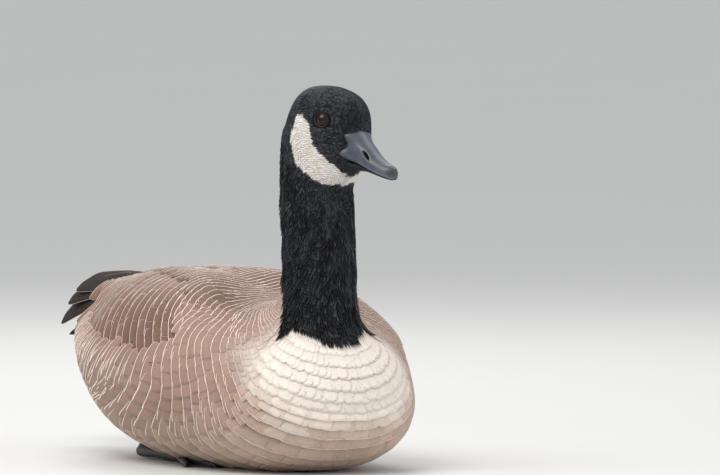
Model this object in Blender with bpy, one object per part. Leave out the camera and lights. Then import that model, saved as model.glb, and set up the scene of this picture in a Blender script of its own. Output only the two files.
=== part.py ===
"""A life-size Canada goose, afloat in its pose, so it sits on its belly with its feet tucked under.

Metres, +Z up. The bird faces -Y, its left side is +X, and the floor is Z = 0.
"Forward" below is the distance towards the breast from the middle of the trunk.
"""

import math
import random

import bmesh
import bpy
import numpy as np
from mathutils import Vector

GAP = 0.0003  # air between neighbouring pieces
MM = 0.001

# Placing of the whole bird, so that its box is centred over the origin.
TRUNK_SHIFT = -0.03788

# The head, measured from the point midway between the eyes.
NECK_FORWARD = 0.168  # the neck's upright axis
EYES_AHEAD = 0.0294  # from that axis to the point between the eyes
EYES_HEIGHT = 0.3165
HEAD_YAW = math.radians(20)
HEAD_PITCH = math.radians(10)

# Head ribs: crown ahead, crown up, throat ahead, throat up, half width, widest, squareness (mm).
# A rib is an oval from a point on the top line to a point on the throat line.
HEAD_RIBS = [
    (27.0, -1.3, 27.0, -39.8, 14.0, 0.50, 2.4),
    (23.6, 6.5, 23.5, -44.0, 18.0, 0.52, 2.3),
    (20.0, 15.5, 21.0, -49.5, 21.6, 0.55, 2.35),
    (9.5, 24.2, 17.0, -54.0, 25.0, 0.58, 2.45),
    (-5.5, 27.4, 14.0, -58.0, 27.6, 0.58, 2.5),
    (-21.0, 27.0, 12.5, -62.0, 29.0, 0.57, 2.5),
    (-37.0, 22.0, 12.0, -66.0, 29.9, 0.55, 2.4),
    (-48.4, 9.5, 12.0, -71.0, 30.7, 0.52, 2.2),
    (-55.0, -8.0, 13.5, -77.0, 31.2, 0.50, 2.05),
    (-58.0, -28.0, 15.5, -84.0, 31.6, 0.50, 2.0),
]
# Neck and trunk ribs: crown forward, crown height, throat forward, throat height,
# half width, widest, squareness (m). The last ribs draw in to the root of the tail.
TRUNK_RIBS = [
    (0.1345, 0.246, 0.1990, 0.219, 0.0312, 0.50, 2.00),
    (0.1360, 0.208, 0.2025, 0.192, 0.0310, 0.50, 2.00),
    (0.1375, 0.178, 0.2050, 0.168, 0.0312, 0.50, 2.00),
    (0.1345, 0.163, 0.2090, 0.145, 0.0335, 0.50, 2.00),
    (0.1270, 0.154, 0.2165, 0.125, 0.0385, 0.50, 2.00),
    (0.1150, 0.150, 0.2285, 0.104, 0.0490, 0.50, 2.05),
    (0.1000, 0.149, 0.2385, 0.082, 0.0640, 0.50, 2.10),
    (0.0820, 0.150, 0.2400, 0.058, 0.0810, 0.50, 2.15),
    (0.0620, 0.153, 0.2300, 0.034, 0.0945, 0.50, 2.20),
    (0.0400, 0.156, 0.2050, 0.013, 0.1045, 0.49, 2.25),
    (0.0120, 0.159, 0.1650, 0.001, 0.1110, 0.48, 2.25),
    (-0.0200, 0.161, 0.1100, -0.003, 0.1150, 0.47, 2.25),
    (-0.0550, 0.161, 0.0450, -0.004, 0.1155, 0.47, 2.25),
    (-0.0900, 0.159, -0.0200, -0.002, 0.1125, 0.48, 2.25),
    (-0.1250, 0.155, -0.0800, 0.005, 0.1040, 0.50, 2.20),
    (-0.1600, 0.149, -0.1300, 0.019, 0.0900, 0.52, 2.15),
    (-0.1900, 0.142, -0.1720, 0.042, 0.0710, 0.54, 2.10),
    (-0.2150, 0.134, -0.2080, 0.070, 0.0460, 0.54, 2.05),
    (-0.2380, 0.126, -0.2340, 0.094, 0.0280, 0.52, 2.00),
    (-0.2520, 0.119, -0.2500, 0.107, 0.0130, 0.50, 2.00),
]
N_HEAD = len(HEAD_RIBS)
# Stations along the skin where one part ends and the next begins.
HEAD_END = N_HEAD - 0.6
NECK_END = N_HEAD + 4.6
TRUNK_END = N_HEAD + 17.4
SKIN_END = N_HEAD + len(TRUNK_RIBS) - 1.0

# The folded wings' outer surface: the same ribs, from the shoulder to the wing tips.
WING_RIBS = [
    (0.1000, 0.149, 0.2385, 0.082, 0.0640, 0.50, 2.10),
    (0.0820, 0.156, 0.2400, 0.057, 0.0840, 0.50, 2.20),
    (0.0620, 0.164, 0.2300, 0.032, 0.0995, 0.50, 2.30),
    (0.0400, 0.170, 0.2050, 0.009, 0.1105, 0.49, 2.35),
    (0.0120, 0.172, 0.1650, -0.004, 0.1180, 0.48, 2.35),
    (-0.0200, 0.172, 0.1100, -0.009, 0.1210, 0.47, 2.30),
    (-0.0550, 0.171, 0.0450, -0.010, 0.1195, 0.47, 2.25),
    (-0.0900, 0.170, -0.0200, -0.008, 0.1150, 0.48, 2.25),
    (-0.1250, 0.167, -0.0800, -0.002, 0.1060, 0.50, 2.20),
    (-0.1600, 0.163, -0.1300, 0.011, 0.0930, 0.52, 2.15),
    (-0.1950, 0.159, -0.1750, 0.034, 0.0770, 0.54, 2.10),
    (-0.2300, 0.155, -0.2150, 0.062, 0.0600, 0.55, 2.05),
    (-0.2650, 0.151, -0.2500, 0.086, 0.0450, 0.56, 2.00),
    (-0.2950, 0.147, -0.2800, 0.101, 0.0340, 0.56, 2.00),
    (-0.3250, 0.143, -0.3100, 0.111, 0.0240, 0.56, 2.00),
]

COLOURS = {
    "black_plumage": ((0.018, 0.018, 0.020), 0.75),
    "brown_plumage": ((0.235, 0.165, 0.125), 0.80),
    "wing_plumage": ((0.195, 0.135, 0.105), 0.78),
    "dark_quills": ((0.040, 0.028, 0.024), 0.60),
    "grey_black_horn": ((0.075, 0.082, 0.095), 0.35),
    "eye_brown": ((0.030, 0.012, 0.006), 0.05),
    "leg_skin": ((0.045, 0.045, 0.048), 0.55),
}


def clear_scene():
    for thing in list(bpy.data.objects):
        bpy.data.objects.remove(thing)


def at(forward, side, height):
    """A point from its distance ahead, to the bird's left and above the floor."""
    return np.array((side, TRUNK_SHIFT - forward, height))


def head_to_trunk(ahead, up):
    """A head point, in mm from between the eyes, as distance ahead of the neck's axis and height."""
    ahead, up = ahead * MM, up * MM
    c, s = math.cos(HEAD_PITCH), math.sin(HEAD_PITCH)
    return EYES_AHEAD + ahead * c + up * s, EYES_HEIGHT - ahead * s + up * c


def turned(forward, side, height, yaw):
    """A point turned to the bird's left about the neck's upright axis."""
    ahead = forward - NECK_FORWARD
    c, s = math.cos(yaw), math.sin(yaw)
    return at(NECK_FORWARD + ahead * c - side * s, side * c + ahead * s, height)


def head_point(ahead, side, up):
    """A point of the head, in mm from between the eyes, in the part's frame."""
    forward, height = head_to_trunk(ahead, up)
    return turned(NECK_FORWARD + forward, side * MM, height, HEAD_YAW)


def skin_table():
    """All ribs from the bill's base to the tail's root, each with its own turn of the neck."""
    rows = []
    for ca, cu, ta, tu, half, widest, square in HEAD_RIBS:
        crown, throat = head_to_trunk(ca, cu), head_to_trunk(ta, tu)
        ends = (NECK_FORWARD + crown[0], crown[1], NECK_FORWARD + throat[0], throat[1])
        rows.append((*ends, half * MM, widest, square, HEAD_YAW))
    for i, rib in enumerate(TRUNK_RIBS):
        rows.append((*rib, HEAD_YAW * max(0.0, 0.72 - 0.24 * i)))
    return np.array(rows)


def wing_table():
    return np.array([(*rib, 0.0) for rib in WING_RIBS])


def row_at(table, u):
    """The table's row at the fractional station u, on a smooth curve through its rows."""
    last = len(table) - 1
    i = min(max(int(math.floor(u)), 0), last - 1)
    t = u - i
    a, b = table[i], table[i + 1]
    before = table[i - 1] if i > 0 else 2 * a - b
    after = table[i + 2] if i + 2 <= last else 2 * b - a
    bend = (b - before) * t + (2 * before - 5 * a + 4 * b - after) * t**2
    return a + 0.5 * (bend + (3 * a - before - 3 * b + after) * t**3)


def rib_point(table, u, phi):
    """The point at angle phi round the rib at u: 0 is the top line, pi the throat or belly line."""
    cf, cz, tf, tz, half, widest, square, yaw = row_at(table, u)
    c, s = math.cos(phi), math.sin(phi)
    rise = math.copysign(abs(c) ** (2 / square), c)
    share = widest + (1 - widest) * rise if rise > 0 else widest * (1 + rise)
    side = math.copysign(abs(s) ** (2 / square), s) * half
    return turned(tf + (cf - tf) * share, side, tz + (cz - tz) * share, yaw)


def surface(table, u, phi, lift=0.0):
    """A rib point raised by lift, with the tailward and downward tangents and the outward normal there."""
    step_u, step_phi = 0.02, 0.02
    along = rib_point(table, u + step_u, phi) - rib_point(table, u - step_u, phi)
    round_ = rib_point(table, u, phi + step_phi) - rib_point(table, u, phi - step_phi)
    along, round_ = along / (2 * step_u), round_ / (2 * step_phi)
    normal = np.cross(round_, along)
    normal /= max(np.linalg.norm(normal), 1e-12)
    return rib_point(table, u, phi) + normal * lift, along, round_, normal


def material(name):
    made = bpy.data.materials.get(name)
    if made is None:
        colour, roughness = COLOURS[name]
        made = bpy.data.materials.new(name)
        made.use_nodes = True
        shader = made.node_tree.nodes["Principled BSDF"]
        shader.inputs["Base Color"].default_value = (*colour, 1.0)
        shader.inputs["Roughness"].default_value = roughness
        shader.inputs["Metallic"].default_value = 0.0
    return made


def solid(name, points, faces, finish):
    """A named mesh object with its faces turned outwards."""
    mesh = bpy.data.meshes.new(name)
    mesh.from_pydata([tuple(map(float, p)) for p in points], [], faces)
    form = bmesh.new()
    form.from_mesh(mesh)
    bmesh.ops.recalc_face_normals(form, faces=form.faces)
    form.to_mesh(mesh)
    form.free()
    mesh.materials.append(material(finish))
    thing = bpy.data.objects.new(name, mesh)
    bpy.context.scene.collection.objects.link(thing)
    return thing


def ring_faces(rings, count):
    """Triangles between neighbouring rings of count points, and a flat cap on each end."""
    faces = []
    for r in range(rings - 1):
        for k in range(count):
            a, b = r * count + k, r * count + (k + 1) % count
            faces += [(a, b, b + count), (a, b + count, a + count)]
    faces.append(tuple(range(count)))
    faces.append(tuple((rings - 1) * count + k for k in range(count)))
    return faces


def skin_solid(name, start, end, rings, count, finish, lift=0.0):
    """The closed stretch of the skin between two stations."""
    table = skin_table()
    points = []
    for u in np.linspace(start, end, rings):
        for k in range(count):
            point = surface(table, u, 2 * math.pi * k / count, lift)[0]
            point[2] = max(point[2], 0.0)
            points.append(point)
    return solid(name, points, ring_faces(rings, count), finish)


def keep_largest(thing):
    """Drops every closed surface but the one with the most volume inside."""
    form = bmesh.new()
    form.from_mesh(thing.data)
    bmesh.ops.triangulate(form, faces=form.faces)
    left, shells = set(form.verts), []
    while left:
        todo = [left.pop()]
        shell = set(todo)
        while todo:
            for edge in todo.pop().link_edges:
                for vert in edge.verts:
                    if vert in left:
                        left.discard(vert)
                        shell.add(vert)
                        todo.append(vert)
        shells.append(shell)

    def volume(shell):
        faces = {face for vert in shell for face in vert.link_faces}
        return sum(f.verts[0].co.cross(f.verts[1].co).dot(f.verts[2].co) for f in faces)

    best = max(shells, key=volume)
    extra = [vert for shell in shells if shell is not best for vert in shell]
    bmesh.ops.delete(form, geom=extra, context="VERTS")
    form.to_mesh(thing.data)
    form.free()


def combine(base, others, operation):
    """Joins closed pieces to base, or cuts them from it, with one Boolean, and removes them."""
    group = bpy.data.collections.new("pieces")
    bpy.context.scene.collection.children.link(group)
    for piece in others:
        group.objects.link(piece)
    cut = base.modifiers.new("combine", "BOOLEAN")
    cut.operation = operation
    cut.operand_type = "COLLECTION"
    cut.collection = group
    cut.solver = "MANIFOLD"
    graph = bpy.context.evaluated_depsgraph_get()
    joined = bpy.data.meshes.new_from_object(base.evaluated_get(graph))
    base.modifiers.clear()
    base.data = joined
    for piece in list(others):
        bpy.data.objects.remove(piece)
    bpy.data.collections.remove(group)
    keep_largest(base)
    return base


def ellipsoid(name, centre, radii, axes, finish, rings=10, count=16):
    """A closed ellipsoid whose radii lie along the three given axes."""
    points = [centre + axes[2] * radii[2]]
    for r in range(1, rings):
        a = math.pi * r / rings
        for k in range(count):
            b = 2 * math.pi * k / count
            local = (math.sin(a) * math.cos(b), math.sin(a) * math.sin(b), math.cos(a))
            points.append(centre + sum(axes[i] * radii[i] * local[i] for i in range(3)))
    points.append(centre - axes[2] * radii[2])
    last = len(points) - 1
    faces = []
    for k in range(count):
        n = (k + 1) % count
        faces += [(0, 1 + k, 1 + n), (last, last - count + n, last - count + k)]
        for r in range(rings - 2):
            a, b = 1 + r * count + k, 1 + r * count + n
            faces += [(a, a + count, b + count), (a, b + count, b)]
    return solid(name, points, faces, finish)


def vane(name, centres, acrosses, normals, halves, lifts, thick, finish, roll=0.0):
    """A feather blade through its centre points. roll raises one edge, so that it laps its neighbour."""
    points = []
    for centre, across, normal, half, lift in zip(centres, acrosses, normals, halves, lifts):
        for step in (-1, 0, 1):
            crown = 0.0 if step else BLADE_CROWN
            middle = centre + across * half * step + normal * (lift + roll * step + crown)
            points += [middle + normal * thick / 2, middle - normal * thick / 2]
    rows = len(centres)
    faces = []
    for r in range(rows - 1):
        for c in range(2):
            a = r * 6 + c * 2
            b = a + 6
            faces += [(a, b, b + 2), (a, b + 2, a + 2)]
            faces += [(a + 1, b + 3, b + 1), (a + 1, a + 3, b + 3)]
        for edge in (0, 4):
            a = r * 6 + edge
            faces += [(a, a + 1, a + 7), (a, a + 7, a + 6)]
    for end in (0, (rows - 1) * 6):
        for c in (0, 2):
            a = end + c
            faces += [(a, a + 1, a + 3), (a, a + 3, a + 2)]
    return solid(name, points, faces, finish)


# A blade laid on a surface: shares of its length, and its width and height over the surface there
BLADE_STEPS = (0.0, 0.3, 0.72, 1.0)
BLADE_WIDTHS = (0.62, 1.0, 0.92, 0.34)
BLADE_ROOT_SINK = 3.0 * MM
BLADE_LIFTS = (0.0, 0.9 * MM, 2.3 * MM, 2.9 * MM)
BLADE_THICK = 1.0 * MM
BLADE_CROWN = 0.4 * MM
BLADE_ROLL = 0.9 * MM
WALK_STEPS = 4  # short steps over the surface from one of these shares to the next


def laid_vane(table, side, start, heading, length, width, finish, rise, grow):
    """A blade that starts at (station, degrees from the top line) and follows the surface.

    heading is in degrees from straight tailward, positive towards the belly.
    """
    u, phi = start[0], math.radians(start[1])
    turn = math.radians(heading)
    centres, acrosses, normals = [], [], []
    done = 0.0
    for step in BLADE_STEPS:
        for _ in range(WALK_STEPS if step > done else 0):
            _, along, round_, _ = surface(table, u, phi)
            pace = (step - done) * length / WALK_STEPS
            u += math.cos(turn) * pace / np.linalg.norm(along)
            phi += math.sin(turn) * pace / np.linalg.norm(round_)
        done = step
        centre, along, _, normal = surface(table, u, side * phi)
        along = along / np.linalg.norm(along)
        down = np.cross(along, normal) * side
        tail = along * math.cos(turn) + down * math.sin(turn)
        centres.append(centre)
        acrosses.append(np.cross(normal, tail))
        normals.append(normal)
    halves = [width * share / 2 for share in BLADE_WIDTHS]
    lifts = [-BLADE_ROOT_SINK] + [lift * rise for lift in BLADE_LIFTS[1:]]
    thick = BLADE_THICK + 2 * grow
    return vane("blade", centres, acrosses, normals, halves, lifts, thick, finish, BLADE_ROLL * side)


def patch_solid(name, table, side, stations, top, bottom, lift, depth, columns, finish):
    """A closed sheet on the surface between two angles, depth thick, rounded towards its rim."""
    rows = len(stations)
    outer, inner = [], []
    for r, u in enumerate(stations):
        for c in range(columns):
            share = c / (columns - 1)
            phi = top(u) + (bottom(u) - top(u)) * share
            point, _, _, normal = surface(table, u, side * math.radians(phi))
            rim = min(r, rows - 1 - r, c, columns - 1 - c)
            sink = depth(u) * (0.45 if rim == 0 else 0.0)
            outer.append(point + normal * (lift - sink))
            inner.append(point + normal * (lift - depth(u)))
    points = outer + inner
    size = rows * columns
    faces = []
    for r in range(rows - 1):
        for c in range(columns - 1):
            a = r * columns + c
            b = a + columns
            faces += [(a, b, b + 1), (a, b + 1, a + 1)]
            faces += [(size + a, size + b + 1, size + b), (size + a, size + a + 1, size + b + 1)]
    rim = [c for c in range(columns)]
    rim += [r * columns + columns - 1 for r in range(1, rows)]
    rim += [(rows - 1) * columns + c for c in range(columns - 2, -1, -1)]
    rim += [r * columns for r in range(rows - 2, 0, -1)]
    for k, a in enumerate(rim):
        b = rim[(k + 1) % len(rim)]
        faces += [(a, b, size + b), (a, size + b, size + a)]
    return solid(name, points, faces, finish)


def blend(table, x):
    """The value at x on straight lines through (x, value) pairs."""
    return float(np.interp(x, [p[0] for p in table], [p[1] for p in table]))


# Torso, neck and head
TORSO_RINGS, TORSO_COUNT = 31, 28
NECK_RINGS, NECK_COUNT = 9, 28
HEAD_RINGS, HEAD_COUNT = 17, 28
JOIN = 0.012  # half the gap between two stretches of skin, in stations


# Rows of feathers: station from the first trunk rib, first and last angle from the top line,
# count, length, width (mm), heading
MANTLE_ROWS = [
    (6.9, -22, 22, 3, 48, 36, 0),
    (8.3, -17, 17, 3, 50, 34, 0),
    (9.7, -8, 8, 2, 54, 30, 0),
    (11.0, 0, 0, 1, 58, 32, 0),
]
FLANK_ROWS = [
    (8.6, 93, 93, 1, 50, 30, -14),
    (9.5, 93, 93, 1, 52, 31, -14),
    (10.4, 93, 93, 1, 54, 32, -12),
    (11.3, 92, 92, 1, 56, 33, -10),
    (12.3, 91, 91, 1, 58, 33, -9),
    (13.3, 90, 90, 1, 58, 32, -8),
    (14.3, 90, 90, 1, 54, 30, -8),
]
FLANK_RISE = 1.8
MANTLE_RISE = 1.1


def feather_rows(table, first, rows, sides, finish, rise, grow=0.0):
    """Blades in tiers. Each row is spread between two angles, with small seeded differences."""
    pieces = []
    for r, (station, low, high, count, length, width, heading) in enumerate(rows):
        for i, phi in enumerate(np.linspace(low, high, count)):
            for side in sides:
                draw = random.Random(r * 37 + i * 11 + side * 3 + count)
                size = length * MM * draw.uniform(0.94, 1.06) + grow
                wide = width * MM * draw.uniform(0.95, 1.05) + 2 * grow
                turn = heading + draw.uniform(-2.5, 2.5)
                start = (first + station + draw.uniform(-0.08, 0.08), phi)
                pieces.append(laid_vane(table, side, start, turn, size, wide, finish, rise, grow))
    return pieces


def trunk_skin(name, lift=0.0):
    start, end = NECK_END + JOIN, TRUNK_END - JOIN
    return skin_solid(name, start, end, TORSO_RINGS, TORSO_COUNT, "brown_plumage", lift)


def torso(name="torso", lift=0.0):
    """The trunk with the feathers of its back and flanks. A lifted copy is the room it needs."""
    base = trunk_skin(name, lift)
    table = skin_table()
    finish = "brown_plumage"
    plumes = feather_rows(table, N_HEAD, MANTLE_ROWS, (1,), finish, MANTLE_RISE, lift)
    plumes += feather_rows(table, N_HEAD, FLANK_ROWS, (1, -1), finish, FLANK_RISE, lift)
    return combine(base, plumes, "UNION")


def neck():
    return skin_solid("neck", HEAD_END + JOIN, NECK_END - JOIN, NECK_RINGS, NECK_COUNT, "black_plumage")


# Eyes, in mm from the point between them
EYE_SIDE = 21.4
EYE_RADIUS = 7.4


def head_axes():
    """Unit vectors ahead, to the left and up for the head."""
    origin = head_point(0, 0, 0)
    return [(head_point(*step) - origin) / MM for step in ((1, 0, 0), (0, 1, 0), (0, 0, 1))]


def eye(side, name, grow=0.0, finish="eye_brown"):
    centre = head_point(0, side * EYE_SIDE, 0)
    radius = EYE_RADIUS * MM + grow
    return ellipsoid(name, centre, (radius, radius, radius), head_axes(), finish, 10, 16)


def lid_ring(side):
    """The rim of skin round an eye, deep enough to root in the head."""
    ahead, left, up = head_axes()
    count, points, faces = 20, [], []
    profile = [(5.5, -4.0), (5.5, 5.2), (6.3, 6.2), (7.9, 4.6), (8.8, -4.0)]
    for k in range(count):
        a = 2 * math.pi * k / count
        for radius, out in profile:
            centre = head_point(0, side * (EYE_SIDE + out - 0.4 * (radius - 5)), 0)
            reach = radius * MM
            points.append(centre + ahead * reach * 1.12 * math.cos(a) + up * reach * math.sin(a))
    size = len(profile)
    for k in range(count):
        for j in range(size):
            a, b = k * size + j, k * size + (j + 1) % size
            c, d = (a + size) % (count * size), (b + size) % (count * size)
            faces += [(a, b, d), (a, d, c)]
    return solid("lid", points, faces, "black_plumage")


# Mouth line: mm ahead and up from between the eyes, from the corner to the bill
MOUTH = [(12.0, -31.5), (18.0, -32.6), (24.0, -33.1), (33.0, -33.4)]
MOUTH_CUT = 0.9


def mouth_groove(side):
    """A narrow wedge that cuts the mouth line into the side of the head."""
    points = []
    for i, (ahead, up) in enumerate(MOUTH):
        half = MOUTH_CUT / 2 * (0.3 if i == 0 else 1.0)
        for reach in (9.5, 30.0):
            points += [head_point(ahead, side * reach, up + half), head_point(ahead, side * reach, up - half)]
    faces = []
    for i in range(len(MOUTH) - 1):
        a = i * 4
        for p, q in ((0, 1), (1, 3), (3, 2), (2, 0)):
            faces += [(a + p, a + q, a + q + 4), (a + p, a + q + 4, a + p + 4)]
    last = (len(MOUTH) - 1) * 4
    faces += [(0, 2, 3), (0, 3, 1), (last, last + 3, last + 2), (last, last + 1, last + 3)]
    return solid("groove", points, faces, "black_plumage")


def head():
    """The head with its lids, eye sockets and the line of the mouth."""
    base = skin_solid("head", 0.0, HEAD_END - JOIN, HEAD_RINGS, HEAD_COUNT, "black_plumage")
    combine(base, [lid_ring(1), lid_ring(-1)], "UNION")
    sockets = [eye(s, "socket", GAP) for s in (1, -1)]
    return combine(base, sockets + [mouth_groove(1), mouth_groove(-1)], "DIFFERENCE")


# Bill ribs: ahead, top, bottom, half width (mm), widest, squareness
UPPER_BILL = [
    (27.3, -4.6, -32.8, 13.6, 0.42, 3.1),
    (35.0, -12.0, -33.8, 12.1, 0.36, 2.9),
    (42.0, -17.2, -34.8, 11.5, 0.28, 2.7),
    (50.0, -22.2, -36.0, 10.9, 0.24, 2.5),
    (58.0, -26.0, -37.6, 10.4, 0.20, 2.4),
    (65.0, -28.4, -39.2, 9.6, 0.20, 2.4),
    (70.5, -29.6, -40.4, 7.8, 0.20, 2.4),
    (74.4, -31.2, -41.2, 5.2, 0.20, 2.4),
    (76.6, -34.4, -41.4, 2.2, 0.20, 2.4),
]
LOWER_BILL = [
    (27.3, -33.1, -38.4, 11.6, 0.72, 2.3),
    (38.0, -34.5, -40.0, 10.6, 0.72, 2.3),
    (47.0, -35.8, -41.4, 9.7, 0.72, 2.3),
    (57.0, -37.7, -42.8, 8.8, 0.72, 2.3),
    (66.0, -39.7, -43.6, 7.2, 0.72, 2.3),
    (71.0, -40.8, -43.6, 5.0, 0.72, 2.3),
    (73.6, -41.5, -43.1, 2.2, 0.72, 2.3),
]
BILL_COUNT = 20


def bill_solid(name, ribs):
    points = []
    for ahead, top, bottom, half, widest, square in ribs:
        for k in range(BILL_COUNT):
            phi = 2 * math.pi * k / BILL_COUNT
            c, s = math.cos(phi), math.sin(phi)
            rise = math.copysign(abs(c) ** (2 / square), c)
            share = widest + (1 - widest) * rise if rise > 0 else widest * (1 + rise)
            side = math.copysign(abs(s) ** (2 / square), s) * half
            points.append(head_point(ahead, side, bottom + (top - bottom) * share))
    return solid(name, points, ring_faces(len(ribs), BILL_COUNT), "grey_black_horn")


# Nostrils: mm ahead, up, and radii ahead, sideways, up
NOSTRIL = (46.0, -23.4, 6.3, 2.6, 1.8)
NOSTRIL_SIDE = 9.4
NOSTRIL_TILT = 33.0
NAIL = (70.8, -35.4, 6.2, 6.0, 5.2)
NAIL_TILT = 24.0


def tilted_axes(angle):
    """The head's axes, with its forward one turned down by the angle in degrees."""
    ahead, left, up = head_axes()
    c, s = math.cos(math.radians(angle)), math.sin(math.radians(angle))
    return [ahead * c - up * s, left, up * c + ahead * s]


def bill_upper():
    base = bill_solid("bill_upper", UPPER_BILL)
    ahead, up, *radii = NAIL
    radii = [r * MM for r in radii]
    axes = tilted_axes(NAIL_TILT)
    nail = ellipsoid("nail", head_point(ahead, 0, up), radii, axes, "grey_black_horn", 8, 12)
    combine(base, [nail], "UNION")
    ahead, up, *radii = NOSTRIL
    radii = [r * MM for r in radii]
    pits = []
    for side in (1, -1):
        centre = head_point(ahead, side * NOSTRIL_SIDE, up)
        axes = tilted_axes(NOSTRIL_TILT)
        pits.append(ellipsoid("pit", centre, radii, axes, "grey_black_horn", 8, 12))
    floor = slab_under_mouth()
    return combine(base, pits + [floor], "DIFFERENCE")


def slab_under_mouth():
    """A block whose top follows the mouth line, that keeps the nail off the lower bill."""
    points = []
    for ahead, _, bottom, *_ in UPPER_BILL:
        for side in (-16, 16):
            points += [head_point(ahead, side, bottom - 0.02), head_point(ahead, side, bottom - 20)]
    first, last = len(points), len(UPPER_BILL) - 1
    for side in (-16, 16):
        points += [head_point(84, side, -42.2), head_point(84, side, -62)]
    faces = []
    for i in range(last + 1):
        a = i * 4
        for p, q in ((0, 1), (1, 3), (3, 2), (2, 0)):
            faces += [(a + p, a + q, a + q + 4), (a + p, a + q + 4, a + p + 4)]
    end = first
    faces += [(0, 2, 3), (0, 3, 1), (end, end + 3, end + 2), (end, end + 1, end + 3)]
    return solid("slab", points, faces, "grey_black_horn")


def bill_lower():
    return bill_solid("bill_lower", LOWER_BILL)


# Folded wings: angles in degrees from the top line, by station of the wing's ribs
WING_FRONT, WING_BACK = 0.6, 11.4
WING_TOP = [(0.6, 52), (2, 32), (4, 15), (6, 7), (8, 4), (11.4, 5)]
WING_BOTTOM = [(0.6, 62), (2, 74), (4, 77), (7, 76), (10, 72), (11.4, 64)]
WING_DEPTH = [(0.9, 10), (3, 16), (9, 16), (10.5, 8), (11.4, 5)]
WING_ROWS, WING_COLUMNS = 14, 8
COVERT_ROWS = [
    (1.3, 52, 65, 2, 44, 28, 6),
    (2.4, 35, 67, 3, 50, 31, 5),
    (3.6, 24, 70, 4, 56, 33, 4),
    (4.9, 16, 69, 4, 62, 37, 2),
    (6.3, 13, 67, 4, 68, 37, 0),
    (7.8, 12, 64, 4, 76, 35, -2),
    (9.3, 14, 60, 4, 84, 29, -5),
]
COVERT_RISE = 1.0
# The long quills: forward, side and height of root and tip (m), width (mm)
PRIMARIES = [
    ((-0.205, 0.018, 0.150), (-0.323, 0.0135, 0.1455), 23),
    ((-0.205, 0.026, 0.144), (-0.333, 0.0150, 0.1360), 22),
    ((-0.205, 0.034, 0.137), (-0.322, 0.0210, 0.1290), 21),
]
PRIMARY_LEAN = 38.0  # how far the outer edge hangs, degrees
MIDLINE_AIR = 0.0004


def primary(side, root, tip, width):
    """One long quill, rooted in the wing and straight to its tip over the tail."""
    start, end = at(root[0], side * root[1], root[2]), at(tip[0], side * tip[1], tip[2])
    lean = math.radians(PRIMARY_LEAN)
    along = (end - start) / np.linalg.norm(end - start)
    across = np.array((side * math.cos(lean), 0.0, -math.sin(lean)))
    across -= along * along.dot(across)
    across /= np.linalg.norm(across)
    normal = np.cross(along, across) * -side
    stops = (0.0, 0.4, 0.82, 1.0)
    halves = [width * MM * w / 2 for w in (0.8, 1.0, 0.8, 0.28)]
    lifts = (0.0, 0.0015, 0.001, 0.0)
    centres = [start + (end - start) * s for s in stops]
    thick = 1.2 * MM
    return vane("quill", centres, [across] * 4, [normal] * 4, halves, lifts, thick, "dark_quills")


def midline_block(side):
    """All the space on the other wing's side of the bird."""
    near, far = -side * 0.2, side * MIDLINE_AIR
    low, high = min(near, far), max(near, far)
    points = [(x, y, z) for x in (low, high) for y in (-0.5, 0.5) for z in (-0.1, 0.5)]
    faces = [(0, 1, 3, 2), (4, 6, 7, 5), (0, 4, 5, 1), (2, 3, 7, 6), (0, 2, 6, 4), (1, 5, 7, 3)]
    return solid("block", points, faces, "wing_plumage")


def wing(side, name):
    """A folded wing: a thin core on the trunk and tiers of coverts and long quills over it."""
    table = wing_table()
    base = patch_solid(
        name,
        table,
        side,
        np.linspace(WING_FRONT, WING_BACK, WING_ROWS),
        lambda u: blend(WING_TOP, u),
        lambda u: blend(WING_BOTTOM, u),
        0.0,
        lambda u: blend(WING_DEPTH, u) * MM,
        WING_COLUMNS,
        "wing_plumage",
    )
    plumes = feather_rows(table, 0.0, COVERT_ROWS, (side,), "wing_plumage", COVERT_RISE)
    plumes += [primary(side, *quill) for quill in PRIMARIES]
    combine(base, plumes, "UNION")
    room = [torso("hollow", GAP), tail("hollow", GAP), midline_block(side)]
    return combine(base, room, "DIFFERENCE")


# Tail
TAIL_RINGS, TAIL_COUNT = 6, 20
TAIL_LENGTH = 0.101
TAIL_ROOT = (-0.236, 0.110)
TAIL_SPREAD = 5.0
TAIL_STEP = 0.0065  # between neighbouring roots of the outermost quill and the middle one
TAIL_QUILLS = 9
TAIL_STACK = 0.0017  # how far each quill lies under the next one inward
TAIL_SINK = 0.05  # how far the tail drops along its length


def tail_quill(place, grow):
    """One quill; place runs from -1 at the right to 1 at the left."""
    turn = math.radians(TAIL_SPREAD * place)
    heading = np.array((math.sin(turn), math.cos(turn), -TAIL_SINK))
    across = np.array((math.cos(turn), -math.sin(turn), 0.0))
    up = np.array((0.0, 0.0, 1.0))
    start = at(TAIL_ROOT[0], place * TAIL_STEP, TAIL_ROOT[1])
    length = TAIL_LENGTH * (1.0 - 0.10 * place**2)
    centres = [start + heading * length * s for s in (0.0, 0.35, 0.8, 1.0)]
    centres[-1] = centres[-1] + heading * grow
    halves = [x * MM + grow for x in (6.0, 10.5, 11.5, 5.0)]
    drop = -TAIL_STACK * abs(place) * (TAIL_QUILLS - 1) / 2
    lifts = [drop * x for x in (0.6, 1.0, 1.0, 1.0)]
    thick = 0.0011 + 2 * grow
    return vane("quill", centres, [across] * 4, [up] * 4, halves, lifts, thick, "dark_quills")


def tail(name="tail", lift=0.0):
    """The root of the tail and the fan of its quills. A lifted copy is the room it needs."""
    start = TRUNK_END + JOIN
    base = skin_solid(name, start, SKIN_END, TAIL_RINGS, TAIL_COUNT, "dark_quills", lift)
    places = np.linspace(-1, 1, TAIL_QUILLS)
    combine(base, [tail_quill(place, lift) for place in places], "UNION")
    if lift:
        return base
    return combine(base, [torso("hollow", GAP)], "DIFFERENCE")


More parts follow.
